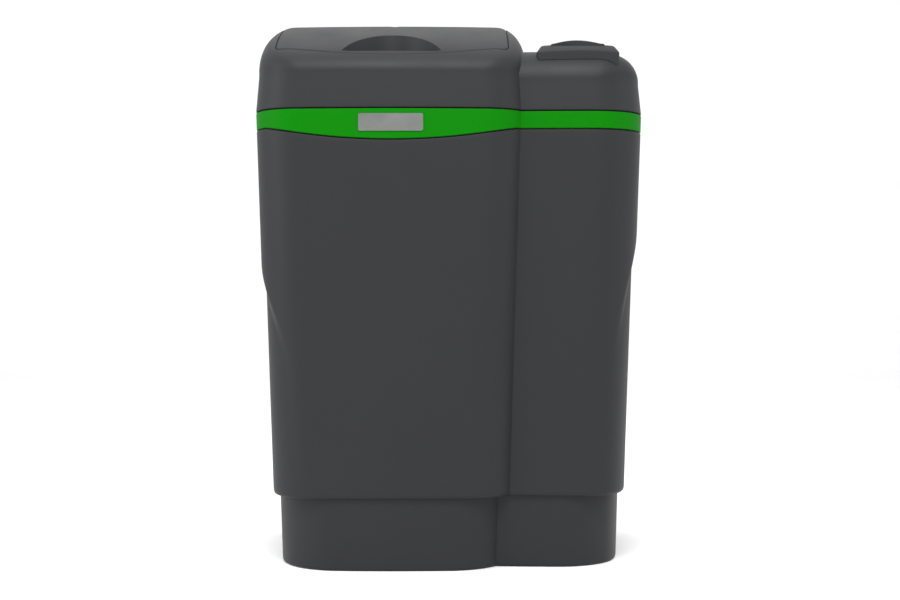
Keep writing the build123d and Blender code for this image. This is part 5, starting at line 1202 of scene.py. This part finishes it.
def nutTree(material, count):  # turns the profile round the pipe and raises ribs on its outer wall
    tree, given, result, carried = newTree("unionNutRibs", {
        "Ribs": nut["ribs"], "Rib Height": nut["ribHeight"] * mm,
        "Ribs Start At": (nut["radius"] - nut["ribsInside"]) * mm, "Port Spacing": nut["spacing"] * mm})
    sheet = addNode(tree, "GeometryNodeMeshGrid", {"Vertices X": nut["around"] + 1, "Vertices Y": count + 1})
    index = addNode(tree, "GeometryNodeInputIndex", {})[0]
    step = calc(tree, "FLOOR", calc(tree, "DIVIDE", calc(tree, "ADD", index, 0.5), count + 1.0))
    row = calc(tree, "SUBTRACT", index, calc(tree, "MULTIPLY", step, count + 1.0))
    row = calc(tree, "MODULO", calc(tree, "ROUND", row), float(count))
    angle = calc(tree, "MULTIPLY", step, 2 * math.pi / nut["around"])
    position = addNode(tree, "GeometryNodeInputPosition", {})[0]
    sample = addNode(tree, "GeometryNodeSampleIndex",
                     {"Geometry": given["Geometry"], "Value": position, "Index": row}, data_type="FLOAT_VECTOR")
    point = addNode(tree, "ShaderNodeSeparateXYZ", {0: sample[0]})
    wave = calc(tree, "COSINE", calc(tree, "MULTIPLY", angle, given["Ribs"]))
    ridge = addNode(tree, "ShaderNodeMapRange", {"Value": wave, "From Min": 0.3, "From Max": 0.75},
                    interpolation_type="SMOOTHSTEP")
    outer = calc(tree, "GREATER_THAN", point["X"], given["Ribs Start At"])
    rise = calc(tree, "MULTIPLY", calc(tree, "MULTIPLY", ridge["Result"], outer), given["Rib Height"])
    radius = calc(tree, "ADD", point["X"], rise)
    place = vector(tree, x=calc(tree, "MULTIPLY", radius, calc(tree, "COSINE", angle)), y=point["Y"],
                   z=calc(tree, "MULTIPLY", radius, calc(tree, "SINE", angle)))
    shape = addNode(tree, "GeometryNodeSetPosition", {"Geometry": sheet["Mesh"], "Position": place})
    ports = addNode(tree, "GeometryNodeMeshLine", {
        "Count": nut["ports"], "Start Location": tuple(c * mm for c in nut["place"]),
        "Offset": vector(tree, x=given["Port Spacing"])})
    spreadOn(tree, ports["Mesh"], shape["Geometry"], material, result)
    return tree, carried


profile = nutProfile()
tree, carried = nutTree(finish["valve"], len(profile))
unionNuts = treePiece("unionNuts", tree, profile, carried, "cabinet")
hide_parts("union_nuts")
print("union nuts", len(unionNuts.data.polygons), "faces")


# plain pale floor and backdrop, soft studio light
studio = {"world": 1.0, "floor": (0.86, 0.86, 0.86), "glow": 0.05, "half": 9000.0, "near": -6000.0,
          "bend": 4500.0, "radius": 1500.0, "level": -0.3, "height": 9000.0}
sweep = [(studio["near"], studio["level"]), (studio["bend"], studio["level"])]
for turn in np.linspace(0, math.pi / 2, 13)[1:]:
    sweep.append((studio["bend"] + studio["radius"] * math.sin(turn),
                  studio["level"] + studio["radius"] * (1 - math.cos(turn))))
sweep.append((studio["bend"] + studio["radius"], studio["height"]))
floorStore = newStore()
addGrid(floorStore, [[(x, y, z) for x in (-studio["half"], studio["half"])] for y, z in sweep], open=True)
floorMesh = bpy.data.meshes.new("studioSweep")
floorMesh.from_pydata([[c * mm for c in p] for p in floorStore["points"]], [], floorStore["faces"])
floorMesh.shade_smooth()
sweepObject = addObject("studioSweep", floorMesh)
paper, paperTree, paperPlace, paperShader = newMaterial("studioPaper")
fibre = noise(paperTree, paperPlace, 30.0, 5.0)
setInputs(paperTree, paperShader, {
    "Base Color": mixColours(paperTree, fibre, shade(studio["floor"], 0.99), studio["floor"]),
    "Roughness": 0.9, "Emission Color": (1, 1, 1, 1), "Emission Strength": studio["glow"]})
floorMesh.materials.append(paper)

world = bpy.data.worlds.new("studioWorld")
world.use_nodes = True
setInputs(world.node_tree, world.node_tree.nodes["Background"],
          {"Color": (1, 1, 1, 1), "Strength": studio["world"]})
bpy.context.scene.world = world

# soft boxes: place, aim, width, height, power
boxes = {
    "overheadBox": ((0.0, -0.6, 3.2), (0, 0, 0.5), 3.0, 2.4, 6.0),
    "topFrontBox": ((0.0, -2.0, 3.0), (0, 0, 0.6), 1.6, 1.2, 84.0),
    "topBackBox": ((0.0, 0.6, 2.6), (0, 0, 0.8), 2.4, 1.6, 11.0),
    "leftBox": ((-3.0, -1.2, 1.6), (0, 0, 0.45), 1.6, 2.4, 40.0),
    "rightBox": ((3.0, -1.0, 1.6), (0, 0, 0.45), 1.6, 2.4, 13.0),
}
for name, (place, aim, width, height, power) in boxes.items():
    data = bpy.data.lights.new(name, "AREA")
    data.shape = "RECTANGLE"
    data.size, data.size_y, data.energy = width, height, power
    lamp = addObject(name, data)
    lamp.location = place
    lamp.rotation_euler = (Vector(aim) - Vector(place)).to_track_quat("-Z", "Y").to_euler()
bpy.context.scene.view_settings.view_transform = "Standard"
print("studio set")
